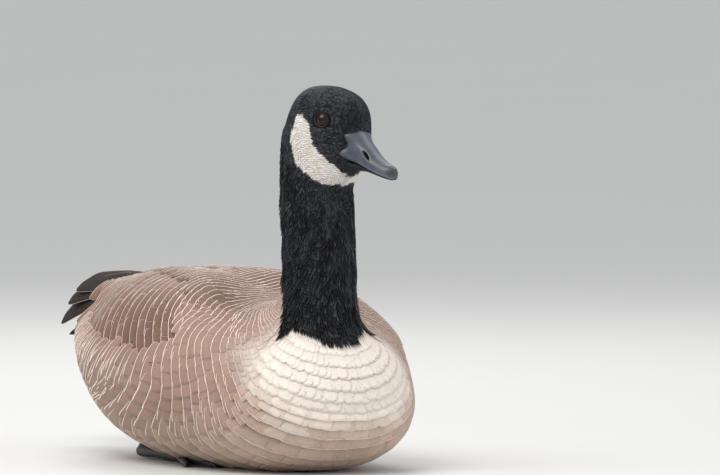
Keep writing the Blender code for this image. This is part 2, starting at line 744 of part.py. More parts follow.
# Legs and feet, tucked under the flanks: forward, side, height (m)
HEEL = (-0.086, 0.058, 0.0062)
ANKLE = (-0.004, 0.058, 0.0056)
SHANK_RADIUS = 0.0045
TOE_LENGTHS = (0.070, 0.078, 0.062)
TOE_TURNS = (-15.0, 3.0, 21.0)
TOE_RADIUS = 0.0034
WEB_THICK = 0.0016


def tube(name, path, radii, finish, count=10):
    """A closed round limb through the path, flattened on the floor."""
    points = []
    for i, centre in enumerate(path):
        before, after = path[max(i - 1, 0)], path[min(i + 1, len(path) - 1)]
        axis = Vector(after - before).normalized()
        side = axis.cross(Vector((0, 0, 1))).normalized()
        up = side.cross(axis)
        for k in range(count):
            a = 2 * math.pi * k / count
            point = Vector(centre) + (side * math.cos(a) + up * math.sin(a)) * radii[i]
            point.z = max(point.z, 0.0)
            points.append(point)
    return solid(name, points, ring_faces(len(path), count), finish)


def leg(side, name):
    """The shank lying forward on the floor, and the bare end of the thigh above the heel."""
    heel, ankle = at(HEEL[0], side * HEEL[1], HEEL[2]), at(ANKLE[0], side * ANKLE[1], ANKLE[2])
    shares = (0.0, 0.12, 0.5, 0.9, 1.0)
    radii = [0.0052, 0.0056, 0.0044, 0.0050, 0.0046]
    shank = tube(name, [heel + (ankle - heel) * s for s in shares], radii, "leg_skin")
    knee = at(HEEL[0] + 0.030, side * 0.046, 0.048)
    low = at(HEEL[0] + 0.003, side * HEEL[1], 0.0066)
    thigh = tube("thigh", [low, low * 0.5 + knee * 0.5, knee], [0.0052, 0.0068, 0.0090], "leg_skin")
    combine(shank, [thigh], "UNION")
    return combine(shank, [trunk_skin("room", GAP)], "DIFFERENCE")


def foot(side, name):
    """Three front toes with their webs and claws, and the small hind toe."""
    root = at(ANKLE[0] + 0.0056, side * ANKLE[1], 0.0042)
    tips = []
    for length, turn in zip(TOE_LENGTHS, TOE_TURNS):
        a = math.radians(turn)
        tips.append(root + np.array((side * math.sin(a), -math.cos(a), 0.0)) * length)
    pieces = []
    for tip in tips:
        path = [root + (tip - root) * s for s in (0.0, 0.33, 0.66, 0.94, 1.1)]
        path = [np.array((p[0], p[1], z)) for p, z in zip(path, (0.0042, 0.0034, 0.0032, 0.0030, 0.0016))]
        radii = [0.0046, 0.0034, 0.0033, 0.0029, 0.0009]
        pieces.append(tube("toe", path, radii, "leg_skin", 8))
    web = [root, tips[0] * 0.97 + root * 0.03, (tips[0] + tips[1]) / 2, tips[1] * 0.96 + root * 0.04]
    web += [(tips[1] + tips[2]) / 2, tips[2] * 0.97 + root * 0.03]
    web[2] = root + (web[2] - root) * 0.86
    web[4] = root + (web[4] - root) * 0.86
    points = []
    for level in (0.0, WEB_THICK):
        points += [np.array((p[0], p[1], level)) for p in web]
    count = len(web)
    faces = []
    for k in range(1, count - 1):
        faces += [(0, k, k + 1), (count, count + k + 1, count + k)]
    for k in range(count):
        n = (k + 1) % count
        faces += [(k, n, count + n), (k, count + n, count + k)]
    sheet = solid("web", points, faces, "leg_skin")
    hind = [root + np.array((-side * 0.001, 0.000, 0.0)), root + np.array((-side * 0.012, 0.004, 0.0))]
    hind = [np.array((p[0], p[1], z)) for p, z in zip(hind, (0.0042, 0.0020))]
    pieces.append(tube("toe", hind, [0.0030, 0.0012], "leg_skin", 8))
    pieces[0].name = name
    pieces[0].data.name = name
    combine(pieces[0], pieces[1:] + [sheet], "UNION")
    return combine(pieces[0], [trunk_skin("room", GAP)], "DIFFERENCE")


def build():
    clear_scene()
    torso()
    neck()
    head()
    bill_upper()
    bill_lower()
    tail()
    for side, word in ((1, "left"), (-1, "right")):
        eye(side, "eye_" + word)
        wing(side, "wing_" + word)
        leg(side, "leg_" + word)
        foot(side, "foot_" + word)
    for thing in bpy.data.objects:
        for face in thing.data.polygons:
            face.use_smooth = True


build()
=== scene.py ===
"""A still museum model of a Canada goose resting on its belly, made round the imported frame.

The file is laid out as an add-on: sizes and colours in property groups, one operator for each
piece or group of like pieces, and a panel that lists them.
"""

import math

import bmesh
import bpy
import numpy as np
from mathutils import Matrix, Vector


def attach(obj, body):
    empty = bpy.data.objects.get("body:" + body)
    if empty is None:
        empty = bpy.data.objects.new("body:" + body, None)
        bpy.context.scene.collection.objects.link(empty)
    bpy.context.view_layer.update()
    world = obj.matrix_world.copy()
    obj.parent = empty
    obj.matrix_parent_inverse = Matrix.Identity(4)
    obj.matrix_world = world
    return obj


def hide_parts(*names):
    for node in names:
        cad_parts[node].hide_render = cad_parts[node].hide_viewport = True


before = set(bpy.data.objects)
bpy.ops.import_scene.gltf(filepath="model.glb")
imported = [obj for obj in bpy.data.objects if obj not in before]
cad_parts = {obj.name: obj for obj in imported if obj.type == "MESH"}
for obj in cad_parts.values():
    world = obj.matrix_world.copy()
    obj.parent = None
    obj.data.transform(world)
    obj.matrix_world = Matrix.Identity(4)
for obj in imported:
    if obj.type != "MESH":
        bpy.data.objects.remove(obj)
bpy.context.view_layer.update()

bl_info = {
    "name": "Goose at rest",
    "version": (1, 0, 0),
    "blender": (4, 5, 0),
    "location": "View3D > Sidebar > Goose",
    "description": "Builds a life-size model of a goose at rest, feather by feather",
    "category": "Object",
}

MM = 0.001

# The frame's own layout: forward from the wing joint, and the head about the eyes
TRUNK_SHIFT = -0.03788
NECK_FORWARD = 0.168
EYES_AHEAD, EYES_HEIGHT = 0.0294, 0.3165
HEAD_YAW, HEAD_PITCH = math.radians(20), math.radians(10)
EYE_SIDE, EYE_RADIUS = 21.4, 7.4
EYE_TURN = math.radians(20)  # how far the eyes face forward of straight sideways

# Ribs of the head (mm): crown ahead, up, throat ahead, up, half width, widest place, squareness
HEAD_RIBS = [
    (27.0, -3.2, 27.0, -39.8, 13.2, 0.50, 2.4),
    (23.6, 5.4, 23.5, -44.0, 16.0, 0.52, 2.3),
    (20.0, 15.5, 21.0, -48.3, 19.4, 0.55, 2.35),
    (9.5, 22.8, 17.0, -53.0, 23.4, 0.58, 2.45),
    (-5.5, 25.4, 14.0, -58.0, 27.6, 0.58, 2.5),
    (-21.0, 25.0, 12.5, -62.0, 29.0, 0.57, 2.5),
    (-37.0, 20.6, 12.0, -66.0, 29.9, 0.55, 2.4),
    (-48.4, 9.5, 12.0, -71.0, 30.7, 0.52, 2.2),
    (-55.0, -8.0, 13.5, -77.0, 31.2, 0.50, 2.05),
    (-58.0, -28.0, 15.5, -84.0, 31.6, 0.50, 2.0),
]
# Ribs of the neck and trunk (m): top line forward, height, belly line forward, height, half width,
# widest place, squareness
TRUNK_RIBS = [
    (0.1345, 0.246, 0.1990, 0.219, 0.0312, 0.50, 2.0),
    (0.1360, 0.208, 0.2025, 0.192, 0.0310, 0.50, 2.0),
    (0.1350, 0.178, 0.2048, 0.168, 0.0312, 0.50, 2.0),
    (0.1300, 0.163, 0.2080, 0.145, 0.0330, 0.50, 2.0),
    (0.1240, 0.1545, 0.2150, 0.125, 0.0362, 0.50, 2.0),
    (0.1160, 0.150, 0.2280, 0.104, 0.0460, 0.50, 2.05),
    (0.1040, 0.149, 0.2385, 0.082, 0.0640, 0.50, 2.10),
    (0.0820, 0.150, 0.2400, 0.058, 0.0810, 0.50, 2.15),
    (0.0620, 0.153, 0.2300, 0.034, 0.0945, 0.50, 2.20),
    (0.0400, 0.156, 0.2050, 0.013, 0.1045, 0.49, 2.25),
    (0.0120, 0.159, 0.1650, 0.001, 0.1110, 0.48, 2.25),
    (-0.0200, 0.161, 0.1100, -0.003, 0.1150, 0.47, 2.25),
    (-0.0550, 0.161, 0.0450, -0.004, 0.1155, 0.47, 2.25),
    (-0.0900, 0.159, -0.0200, -0.002, 0.1125, 0.48, 2.25),
    (-0.1250, 0.155, -0.0800, 0.005, 0.1040, 0.50, 2.20),
    (-0.1600, 0.149, -0.1300, 0.019, 0.0900, 0.52, 2.15),
    (-0.1900, 0.142, -0.1720, 0.042, 0.0710, 0.54, 2.10),
    (-0.2150, 0.134, -0.2080, 0.070, 0.0460, 0.54, 2.05),
    (-0.2380, 0.126, -0.2340, 0.094, 0.0280, 0.52, 2.0),
    (-0.2520, 0.119, -0.2500, 0.107, 0.0130, 0.50, 2.0),
]
# Ribs of the form that the folded wings lie on; its station 0 is at the trunk's seventh rib
WING_RIBS = [
    (0.1000, 0.149, 0.2385, 0.082, 0.0640, 0.50, 2.10),
    (0.0820, 0.156, 0.2400, 0.057, 0.0840, 0.50, 2.20),
    (0.0620, 0.164, 0.2300, 0.032, 0.0995, 0.50, 2.30),
    (0.0400, 0.170, 0.2050, 0.009, 0.1105, 0.49, 2.35),
    (0.0120, 0.172, 0.1650, -0.004, 0.1180, 0.48, 2.35),
    (-0.0200, 0.172, 0.1100, -0.009, 0.1210, 0.47, 2.30),
    (-0.0550, 0.171, 0.0450, -0.010, 0.1195, 0.47, 2.25),
    (-0.0900, 0.170, -0.0200, -0.008, 0.1150, 0.48, 2.25),
    (-0.1250, 0.167, -0.0800, -0.002, 0.1060, 0.50, 2.20),
    (-0.1600, 0.163, -0.1300, 0.011, 0.0930, 0.52, 2.15),
    (-0.1950, 0.159, -0.1750, 0.034, 0.0770, 0.54, 2.10),
    (-0.2300, 0.155, -0.2150, 0.062, 0.0600, 0.55, 2.05),
    (-0.2650, 0.151, -0.2500, 0.086, 0.0450, 0.56, 2.0),
    (-0.2950, 0.147, -0.2800, 0.101, 0.0340, 0.56, 2.0),
    (-0.3250, 0.143, -0.3100, 0.111, 0.0240, 0.56, 2.0),
]
WING_OFFSET = 16.0  # trunk station of the wing's station 0
EYE_LEAD = 2.0  # mm from the centre of an eye forward to the middle of its opening
EYE_OVAL = 1.12  # how much longer than high an eye's socket is, and the gap in the coat round it
BELLY_CLEAR = 2.3  # mm that the skin stays above the floor, with feathers pressed flat under it


def linear(code):
    """An sRGB hex colour as linear red, green and blue."""
    parts = [int(code[i : i + 2], 16) / 255 for i in (0, 2, 4)]
    return tuple(v / 12.92 if v <= 0.04045 else ((v + 0.055) / 1.055) ** 2.4 for v in parts)


# Form


def head_to_trunk(ahead, up):
    """Forward and height in metres of a point given in mm from the eyes, before the head turns."""
    c, s = math.cos(HEAD_PITCH), math.sin(HEAD_PITCH)
    return EYES_AHEAD + (ahead * c + up * s) * MM, EYES_HEIGHT + (up * c - ahead * s) * MM


def head_point(ahead, side, up):
    """Points given in mm from between the eyes, in the frame."""
    ahead, side, up = (np.asarray(v, float) for v in (ahead, side, up))
    forward, height = head_to_trunk(ahead, up)
    c, s = math.cos(HEAD_YAW), math.sin(HEAD_YAW)
    across = side * MM
    y = NECK_FORWARD + forward * c - across * s
    return np.stack((across * c + forward * s, TRUNK_SHIFT - y, height), -1)


HEAD_ORIGIN = head_point(0, 0, 0)
HEAD_AXES = np.array([(head_point(*step) - HEAD_ORIGIN) / MM for step in np.eye(3)])


def head_place(points):
    """Ahead, side and up in mm from between the eyes."""
    return (points - HEAD_ORIGIN) @ HEAD_AXES.T / MM


def skin_rows():
    """Ribs of head and trunk in one table, each with its turn to the side."""
    rows = []
    for ca, cu, ta, tu, half, widest, square in HEAD_RIBS:
        (cf, cz), (tf, tz) = head_to_trunk(ca, cu), head_to_trunk(ta, tu)
        shape = (NECK_FORWARD + cf, cz, NECK_FORWARD + tf, tz, half * MM, widest, square)
        rows.append((*shape, HEAD_YAW))
    for i, rib in enumerate(TRUNK_RIBS):
        rows.append((*rib, HEAD_YAW * max(0.0, 0.72 - 0.24 * i)))
    return np.array(rows)


SKIN = skin_rows()
WING = np.array([(*rib, 0.0) for rib in WING_RIBS])


def read_rows(rows, u):
    """Rows of a rib table at the fractional stations u, on a smooth curve."""
    u = np.asarray(u, float)
    i = np.clip(np.floor(u).astype(int), 0, len(rows) - 2)
    t = (u - i)[..., None]
    padded = np.vstack([2 * rows[0] - rows[1], rows, 2 * rows[-1] - rows[-2]])
    before, a, b, after = (padded[i + k] for k in range(4))
    bend = (b - before) * t + (2 * before - 5 * a + 4 * b - after) * t**2
    return a + 0.5 * (bend + (3 * a - before - 3 * b + after) * t**3)


def power(value, exponent):
    """A power that keeps the sign."""
    return np.sign(value) * np.abs(value) ** exponent


def rib_point(rows, u, phi):
    """Points at the angle phi round the ribs at u: 0 is the top line, pi the belly line."""
    u, phi = np.broadcast_arrays(np.asarray(u, float), np.asarray(phi, float))
    cf, cz, tf, tz, half, widest, square, yaw = np.moveaxis(read_rows(rows, u), -1, 0)
    rise = power(np.cos(phi), 2 / square)
    share = np.where(rise > 0, widest + (1 - widest) * rise, widest * (1 + rise))
    side = power(np.sin(phi), 2 / square) * half
    ahead = tf + (cf - tf) * share - NECK_FORWARD
    height = tz + (cz - tz) * share
    c, s = np.cos(yaw), np.sin(yaw)
    forward = NECK_FORWARD + ahead * c - side * s
    return np.stack((side * c + ahead * s, TRUNK_SHIFT - forward, height), -1)


def smooth(x, low, high):
    """From 0 at low to 1 at high, level at both ends."""
    t = np.clip((x - low) / (high - low), 0.0, 1.0)
    return t * t * (3 - 2 * t)


def skin_form(u, phi):
    """The outer form of head, neck and trunk, with brow, eye sockets and cheeks."""
    points = rib_point(SKIN, u, phi)
    ahead, side, up = np.moveaxis(head_place(points), -1, 0)
    reach = np.hypot((ahead - EYE_LEAD) / EYE_OVAL, up)
    near = smooth(np.abs(side), 10, 18) * (up > -60)
    socket = -2.6 * (1 - smooth(reach, 5.5, 9.5))
    brow = 1.3 * np.exp(-(((ahead - 1) / 13) ** 2) - ((up - 11.0) / 4.0) ** 2)
    lore = -1.4 * np.exp(-(((ahead - 15) / 6) ** 2) - ((up + 4) / 7) ** 2)
    cheek = 1.3 * np.exp(-(((ahead + 8) / 15) ** 2) - ((up + 26) / 13) ** 2)
    shift = (socket + brow + lore + cheek) * near * np.sign(side) * MM
    return points + HEAD_AXES[1] * shift[..., None]


def wing_form(u, phi):
    """The folded wing, drawn in towards its tip."""
    slim = 1 - 0.22 * smooth(u, 6.5, 10.0) * (1 - smooth(np.abs(np.degrees(phi)), 56, 84))
    return rib_point(WING, u, phi) * np.stack((slim, 0 * slim + 1, 0 * slim + 1), -1)


# Upper and lower edge of the folded wing: station, degrees from the top line
WING_TOP = ([0.6, 2, 4, 6, 8, 11.4], [52, 32, 15, 7, 4, 5])
WING_LOW = ([0.6, 2, 4, 7, 10, 11.4], [60, 70, 72, 72, 70, 62])


def coat_form(u, phi):
    """The bird's outer form by trunk station: the trunk, and the wings where they lie on it."""
    u, phi = np.broadcast_arrays(np.asarray(u, float), np.asarray(phi, float))
    degrees = np.abs(np.degrees((phi + math.pi) % (2 * math.pi) - math.pi))
    wing_u = u - WING_OFFSET
    top = np.interp(wing_u, *WING_TOP)
    share = smooth(degrees, top - 24, top + 5) * (1 - smooth(degrees, 74, 106))
    share = (share * smooth(wing_u, -1.0, 1.5) * (1 - smooth(wing_u, 9.4, 11.4)))[..., None]
    return skin_form(u, phi) * (1 - share) + wing_form(np.clip(wing_u, 0, 14), phi) * share


def shape_at(form, u, phi):
    """Points, the step per station, the step per radian and the outward normal there."""
    step = 0.01
    along = (form(u + step, phi) - form(u - step, phi)) / (2 * step)
    round_ = (form(u, phi + step) - form(u, phi - step)) / (2 * step)
    normal = np.cross(round_, along)
    normal /= np.maximum(np.linalg.norm(normal, axis=-1, keepdims=True), 1e-12)
    return form(u, phi), along, round_, normal


def ripple(points, pitch, seed):
    """A smooth random value from -1 to 1 that changes over about pitch metres."""
    draw = np.random.default_rng(seed)
    total = 0.0
    for _ in range(5):
        way = draw.normal(size=3)
        way *= 2 * math.pi / (pitch * draw.uniform(0.7, 1.5) * np.linalg.norm(way))
        total = total + np.sin(points @ way + draw.uniform(0, 2 * math.pi))
    return np.clip(total / 2.6, -1, 1)


# Markings, the same for skin and feathers
# Outline of the pale cheek, mm ahead of and above the eyes
CHEEK = np.array([
    (-23.7, 0.5), (-17.5, -1.5), (-13.2, -3.8), (-11.0, -6.1), (-9.3, -10.2), (-5.6, -16.5),
    (-2.0, -22.0), (5.1, -28.7), (11.8, -34.2), (17.6, -38.9), (21.0, -41.6), (21.5, -45.5),
    (21.0, -50.0), (19.3, -52.0), (15.0, -55.9), (9.5, -57.8), (3.5, -57.0), (-1.2, -54.5),
    (-9.4, -50.5), (-19.0, -42.4), (-26.0, -31.8), (-29.8, -24.8), (-30.8, -15.1),
    (-29.9, -7.2), (-28.0, -3.0),
], float)
# Lower edge of the black neck: degrees from the top line, station
NECK_EDGE = (
    [0, 60, 84, 88, 92, 96, 100, 105, 112, 122, 140, 158, 180],
    [12.2, 12.4, 12.8, 13.4, 14.3, 15.1, 15.45, 15.05, 14.6, 14.4, 14.4, 14.6, 14.55],
)
FEATHER_HUES = (
    "black", "glint", "cheek", "cheek_shade", "belly", "breast", "breast_edge", "flank",
    "flank_edge", "mantle", "mantle_edge", "white", "quill",
)


def inside(points, outline):
    """Distance in from an outline, negative outside it."""
    x, y = points[..., 0], points[..., 1]
    best, within = np.full(x.shape, 1e9), np.zeros(x.shape, bool)
    for (ax, ay), (bx, by) in zip(outline, np.roll(outline, -1, axis=0)):
        ex, ey = bx - ax, by - ay
        t = np.clip(((x - ax) * ex + (y - ay) * ey) / (ex * ex + ey * ey), 0, 1)
        best = np.minimum(best, np.hypot(x - ax - t * ex, y - ay - t * ey))
        crosses = (ay > y) != (by > y)
        within ^= crosses & (x < ex * (y - ay) / np.where(ey == 0, 1e-9, ey) + ax)
    return np.where(within, best, -best)


def mix(a, b, share):
    """Colours between a and b, a share of the way."""
    return a + (b - a) * np.asarray(share)[..., None]


def cheek_depth(ahead, side, up):
    """How far in mm a point lies inside the cheek's white, whose two sides meet under the chin."""
    lifted = up + 2.6 * np.exp(-((side / 6.0) ** 2)) * (up < -42)
    return inside(np.stack((ahead, lifted), -1), CHEEK)


def markings(u, phi, points, colours):
    """The colour of each feather's vane and of its edge, by the place of its root."""
    hues = {k: np.array(getattr(colours, k)) for k in FEATHER_HUES}
    degrees = np.abs(np.degrees((phi + math.pi) % (2 * math.pi) - math.pi))
    ahead, side, up = np.moveaxis(head_place(points), -1, 0)
    blank = np.zeros(u.shape + (3,))
    # trunk
    low = smooth(degrees, 100, 150)
    top = 1 - smooth(degrees, 25, 75)
    vane = mix(blank + hues["flank"], hues["mantle"], top)
    edge = mix(blank + hues["flank_edge"], hues["mantle_edge"], top)
    vane = mix(vane, hues["belly"], low)
    edge = mix(edge, hues["flank_edge"], low)
    chest = 1 - smooth(u + 0.25 * ripple(points, 0.03, 5) - 0.9 * smooth(degrees, 95, 150), 15.7, 17.2)
    chest = chest * smooth(degrees, 72, 112)
    vane, edge = mix(vane, hues["breast"], chest), mix(edge, hues["breast_edge"], chest)
    vent = smooth(u, 23.6, 25.4) * smooth(degrees, 92, 118)
    vane, edge = mix(vane, hues["white"], vent), mix(edge, hues["white"], vent)
    rump = smooth(u, 24.6, 25.4) * (1 - smooth(degrees, 50, 70))
    vane, edge = mix(vane, hues["quill"], rump), mix(edge, hues["quill"] * 1.6, rump)
    coverts = smooth(u, 26.4, 26.9)
    vane, edge = mix(vane, hues["white"], coverts), mix(edge, hues["white"], coverts)
    # neck and head
    ragged = 0.10 * ripple(points, 0.006, 7) + 0.08 * ripple(points, 0.016, 8)
    black = 1 - smooth(u + ragged - np.interp(degrees, *NECK_EDGE), -0.06, 0.06)
    glint = 0.5 + 0.5 * ripple(points, 0.02, 3)
    dark = mix(blank + hues["black"], hues["glint"], 0.18 * smooth(glint, 0.3, 1.0))
    # The black feathers' edges are drawn a quarter paler, a painted sheen along them
    vane, edge = mix(vane, dark, black), mix(edge, dark * 1.25, black)
    wander = 0.9 * ripple(points, 0.005, 11) + 0.6 * ripple(points, 0.011, 12)
    patch = cheek_depth(ahead, side, up) + wander
    white = smooth(patch, -0.5, 0.7) * (u < 9.5)
    ivory = mix(blank + hues["cheek"], hues["cheek_shade"], 0.35 + 0.35 * ripple(points, 0.012, 14))
    return mix(vane, ivory, white), mix(edge, ivory * 1.08, white)


# Feathers


class Vane:
    """How a kind of feather is cut. Rows are shares of its length, and widths the shares of its
    width along it. Notch is how far the tip's sides fall back and tip how square it is. Sink,
    rise, crown and roll are heights in mm over the form: of the root, the tip, the middle line
    and one side. Ragged is the share torn off the tip, and thick the sheet's thickness in mm."""

    def __init__(self, rows, columns, widths, notch, tip, sink, rise, crown, roll, ragged, thick):
        self.rows, self.columns = np.array(rows), columns
        self.widths = widths
        self.notch, self.tip = notch, tip
        self.sink, self.rise, self.crown, self.roll = sink, rise, crown, roll
        self.ragged, self.thick = ragged, thick


def lay_feathers(form, u, phi, heading, length, width, vane, seed, lift=0.0, scale=1.0, skew=0.0):
    """Feathers rooted at (u, phi) that follow a form. Heading is in degrees from tailward
    towards the belly, length and width are in mm, lift raises each whole feather (mm), scale
    multiplies its heights, and skew is the slope of the tip towards the belly's side."""
    draw = np.random.default_rng(seed)
    u, phi = np.asarray(u, float), np.asarray(phi, float)
    count = len(u)
    full = np.ones(count)
    turn = np.radians(heading * full) * np.sign(phi + 1e-9) + draw.normal(0, 0.03, count)
    length = length * full * draw.uniform(0.98, 1.02, count) * MM
    width = width * full * draw.uniform(0.94, 1.06, count) * MM
    lift, scale = lift * full, scale * full
    b = vane.rows
    a = np.linspace(-1, 1, vane.columns + 1)
    half = np.interp(b, *vane.widths)[None, :, None] * width[:, None, None] / 2
    cut = 1 - vane.notch * np.abs(a)[None, None, :] ** vane.tip * b[None, :, None] ** 3
    tear = draw.uniform(0, 1, (count, 1, len(a))) ** 6 * vane.ragged
    cut = cut - tear * (b[None, :, None] ** 4)
    y = length[:, None, None] * b[None, :, None] * cut
    x = half * a[None, None, :]
    slant = (skew * np.sign(phi + 1e-9) * full)[:, None, None]
    y = y + slant * x * b[None, :, None]
    bend = draw.normal(0, 0.03, count)[:, None, None]
    x = x + bend * y * b[None, :, None]
    c, s = np.cos(turn), np.sin(turn)

    def pace(at_u, at_phi):
        _, along, round_, _ = shape_at(form, at_u, at_phi)
        return np.linalg.norm(along, axis=-1), np.maximum(np.linalg.norm(round_, axis=-1), 0.004)

    per_u, per_phi = pace(u, phi)
    mid_u = u + c * length / 2 / per_u
    mid_phi = phi + s * length / 2 / per_phi
    per_u, per_phi = pace(mid_u, mid_phi)
    c, s = c[:, None, None], s[:, None, None]
    at_u = u[:, None, None] + (c * y - s * x) / per_u[:, None, None]
    at_phi = phi[:, None, None] + (s * y + c * x) / per_phi[:, None, None]
    point, _, _, normal = shape_at(form, at_u, at_phi)
    climb = -vane.sink + (vane.sink + vane.rise) * b[None, :, None] ** 0.75
    over = vane.crown * (1 - a[None, None, :] ** 2) * np.sin(np.pi * (0.15 + 0.7 * b))[None, :, None]
    tilt = vane.roll * a[None, None, :] * b[None, :, None] * np.sign(phi + 1e-9)[:, None, None]
    jitter = draw.uniform(-0.1, 0.1, count)[:, None, None] * vane.rise * b[None, :, None]
    height = (climb + over + tilt + jitter) * scale[:, None, None] + lift[:, None, None]
    point = point + normal * (height * MM)[..., None]
    part = dict(points=point, **vane_marks(vane, width, length, draw.uniform(0, 1, count)))
    if vane.thick:
        middle = normal[:, len(b) // 2, len(a) // 2]
        part["down"] = -middle * vane.thick * MM
    return part


def vane_marks(vane, width, length, luck):
    """Where each point lies on its vane (across -1 to 1, along 0 to 1, the vane's own random
    number), the vane's half width and length there in mm, and how wide its edge is drawn."""
    width, length, luck = (np.asarray(v, float)[:, None, None] for v in (width, length, luck))
    a = np.linspace(-1, 1, vane.columns + 1)[None, None, :]
    b = vane.rows[None, :, None]
    half = np.interp(vane.rows, *vane.widths)[None, :, None] * width / 2 / MM
    lie = np.broadcast_arrays(a, b, luck)
    span = np.broadcast_arrays(half + 0 * a, length / MM, 1.0)
    return dict(lie=np.stack(lie, -1), span=np.stack(span, -1))


def paint(part, vane, edge):
    """Gives each vane its colour and the colour of its edge."""
    part["tint"], part["edge"] = vane, edge
    return part


def coat_mesh(name, parts, patch):
    """One mesh of many closed vanes, with their attributes and a small bake patch for each.
    Where the bird sits, vanes are pressed flat, tips lowest, and stay clear of one another."""
    points, loops, sizes, smooths, uvs = [], [], [], [], []
    data = {k: [] for k in ("lie", "span", "tint", "edge")}
    spread_u = np.concatenate([p["place"][:, 0] for p in parts])
    spread_v = np.concatenate([p["place"][:, 1] for p in parts])
    low = np.array((spread_u.min(), spread_v.min()))
    span = np.maximum(np.array((spread_u.max(), spread_v.max())) - low, 1e-6)
    start = 0
    for part in parts:
        grid = part["points"].copy()
        count, rows, columns = grid.shape[:3]
        rest = (0.1 + 1.3 * (1 - part["lie"][..., 1]) + 0.2 * part["lie"][..., 2]) * MM
        grid[..., 2] = np.maximum(grid[..., 2], rest)
        index = start + np.arange(count * rows * columns).reshape(count, rows, columns)
        start += index.size
        points.append(grid.reshape(-1, 3))
        for k in ("lie", "span"):
            data[k].append(part[k].reshape(-1, 3))
        size = rows * columns
        for k in ("tint", "edge"):
            data[k].append(np.repeat(part[k], size, axis=0))
        a, b = np.linspace(0, 1, columns), np.linspace(0, 1, rows)
        spot = (part["place"] - low) / span * (1 - 3 * patch) + patch
        uv = np.stack(np.broadcast_arrays(
            spot[:, 0, None, None] + a[None, None, :] * patch,
            spot[:, 1, None, None] + b[None, :, None] * patch,
        ), -1).reshape(-1, 2)
        uvs.append(uv)
        top = np.stack((index[:, :-1, :-1], index[:, :-1, 1:], index[:, 1:, 1:], index[:, 1:, :-1]), -1)
        faces = [(top.reshape(-1, 4), True)]
        if "down" in part:
            sheet = grid + part["down"][:, None, None]
            sheet[..., 2] = np.maximum(sheet[..., 2], rest + 0.15 * MM)
            points.append(sheet.reshape(-1, 3))
            for k in data:
                data[k].append(data[k][-1])
            uvs.append(uv)
            start += index.size
            faces.append(((top[..., ::-1] + index.size).reshape(-1, 4), True))
            rim = (index[:, 0, :-1], index[:, :-1, -1], index[:, -1, :0:-1], index[:, :0:-1, 0])
            rim = np.concatenate(rim, 1)
            after = np.roll(rim, -1, axis=1)
            wall = np.stack((after, rim, rim + index.size, after + index.size), -1)
            faces.append((wall.reshape(-1, 4), False))
        else:
            under = np.stack((index[:, :-1, 0], index[:, 1:, 0], index[:, 1:, -1], index[:, :-1, -1]), -1)
            faces += [(under.reshape(-1, 4), False)]
            faces += [(index[:, 0, ::-1], False), (index[:, -1, :], False)]
        for face, soft in faces:
            loops.append(face.reshape(-1))
            sizes.append(np.full(len(face), face.shape[1]))
            smooths.append(np.full(len(face), soft))
    points = np.concatenate(points)
    loops, sizes = np.concatenate(loops), np.concatenate(sizes)
    mesh = bpy.data.meshes.new(name)
    mesh.vertices.add(len(points))
    mesh.vertices.foreach_set("co", points.astype(np.float32).reshape(-1))
    mesh.loops.add(len(loops))
    mesh.loops.foreach_set("vertex_index", loops.astype(np.int32))
    mesh.polygons.add(len(sizes))
    mesh.polygons.foreach_set("loop_start", np.concatenate(([0], np.cumsum(sizes)[:-1])).astype(np.int32))
    mesh.polygons.foreach_set("use_smooth", np.concatenate(smooths))
    mesh.update(calc_edges=True)
    for k in ("lie", "span"):
        layer = mesh.attributes.new(k, "FLOAT_VECTOR", "POINT")
        layer.data.foreach_set("vector", np.concatenate(data[k]).astype(np.float32).reshape(-1))
    for k in ("tint", "edge"):
        colour = np.concatenate(data[k])
        colour = np.hstack((colour, np.ones((len(colour), 1))))
        layer = mesh.attributes.new(k, "FLOAT_COLOR", "POINT")
        layer.data.foreach_set("color", colour.astype(np.float32).reshape(-1))
    uv = np.concatenate(uvs)[loops]
    mesh.uv_layers.new(name="OFBake").data.foreach_set("uv", uv.astype(np.float32).reshape(-1))
    return mesh


def piece(name, mesh, material, slot, *nodes):
    """A finished piece of the model on its body, hiding the solids it stands for. Its slot is not used."""
    thing = bpy.data.objects.new(name, mesh)
    bpy.context.scene.collection.objects.link(thing)
    mesh.materials.clear()
    mesh.materials.append(material)
    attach(thing, "root")
    if nodes:
        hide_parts(*nodes)
    return thing


def skin_place(u, phi):
    """A root's place on an unwrap of the skin: round it and along it."""
    return np.stack((phi, np.asarray(u, float)), -1)


def steps(form, start, end, phi, gaps):
    """Stations from start to end whose spacing on the line at phi is gaps(u) mm."""
    places = [start]
    while places[-1] < end:
        u = np.array([places[-1]])
        _, along, _, _ = shape_at(form, u, np.array([math.radians(phi)]))
        places.append(places[-1] + gaps(places[-1]) * MM / float(np.linalg.norm(along)))
    return np.array(places[:-1])


def ring_places(form, u, low, high, pitch, shift):
    """Angles from low to high degrees round the form at u, evenly pitch mm apart."""
    phi = np.radians(np.linspace(low, high, 121))
    line = form(np.full(phi.shape, u), phi)
    run = np.concatenate(([0], np.cumsum(np.linalg.norm(np.diff(line, axis=0), axis=1))))
    count = max(1, int(round(run[-1] / (pitch * MM))))
    return np.interp((np.arange(count) + shift) / count * run[-1], run, phi)


# Lowest and highest angle of a row that runs right round, in degrees
ALL_ROUND = (lambda u: -180, lambda u: 180)


def tiers(form, stations, low, high, pitch, seed, wander=0.18):
    """Roots in rows on the form, each row shifted against the last."""
    draw = np.random.default_rng(seed)
    us, phis = [], []
    for k, u in enumerate(stations):
        first, last = low(u), high(u)
        if last <= first:
            continue
        phi = ring_places(form, u, first, last, pitch(u), 0.25 if k % 2 else 0.75)
        gap = (phi[1] - phi[0]) if len(phi) > 1 else 0.0
        us.append(np.full(len(phi), u))
        phis.append(phi + draw.uniform(-wander, wander, len(phi)) * gap)
    return np.concatenate(us), np.concatenate(phis)


# Materials


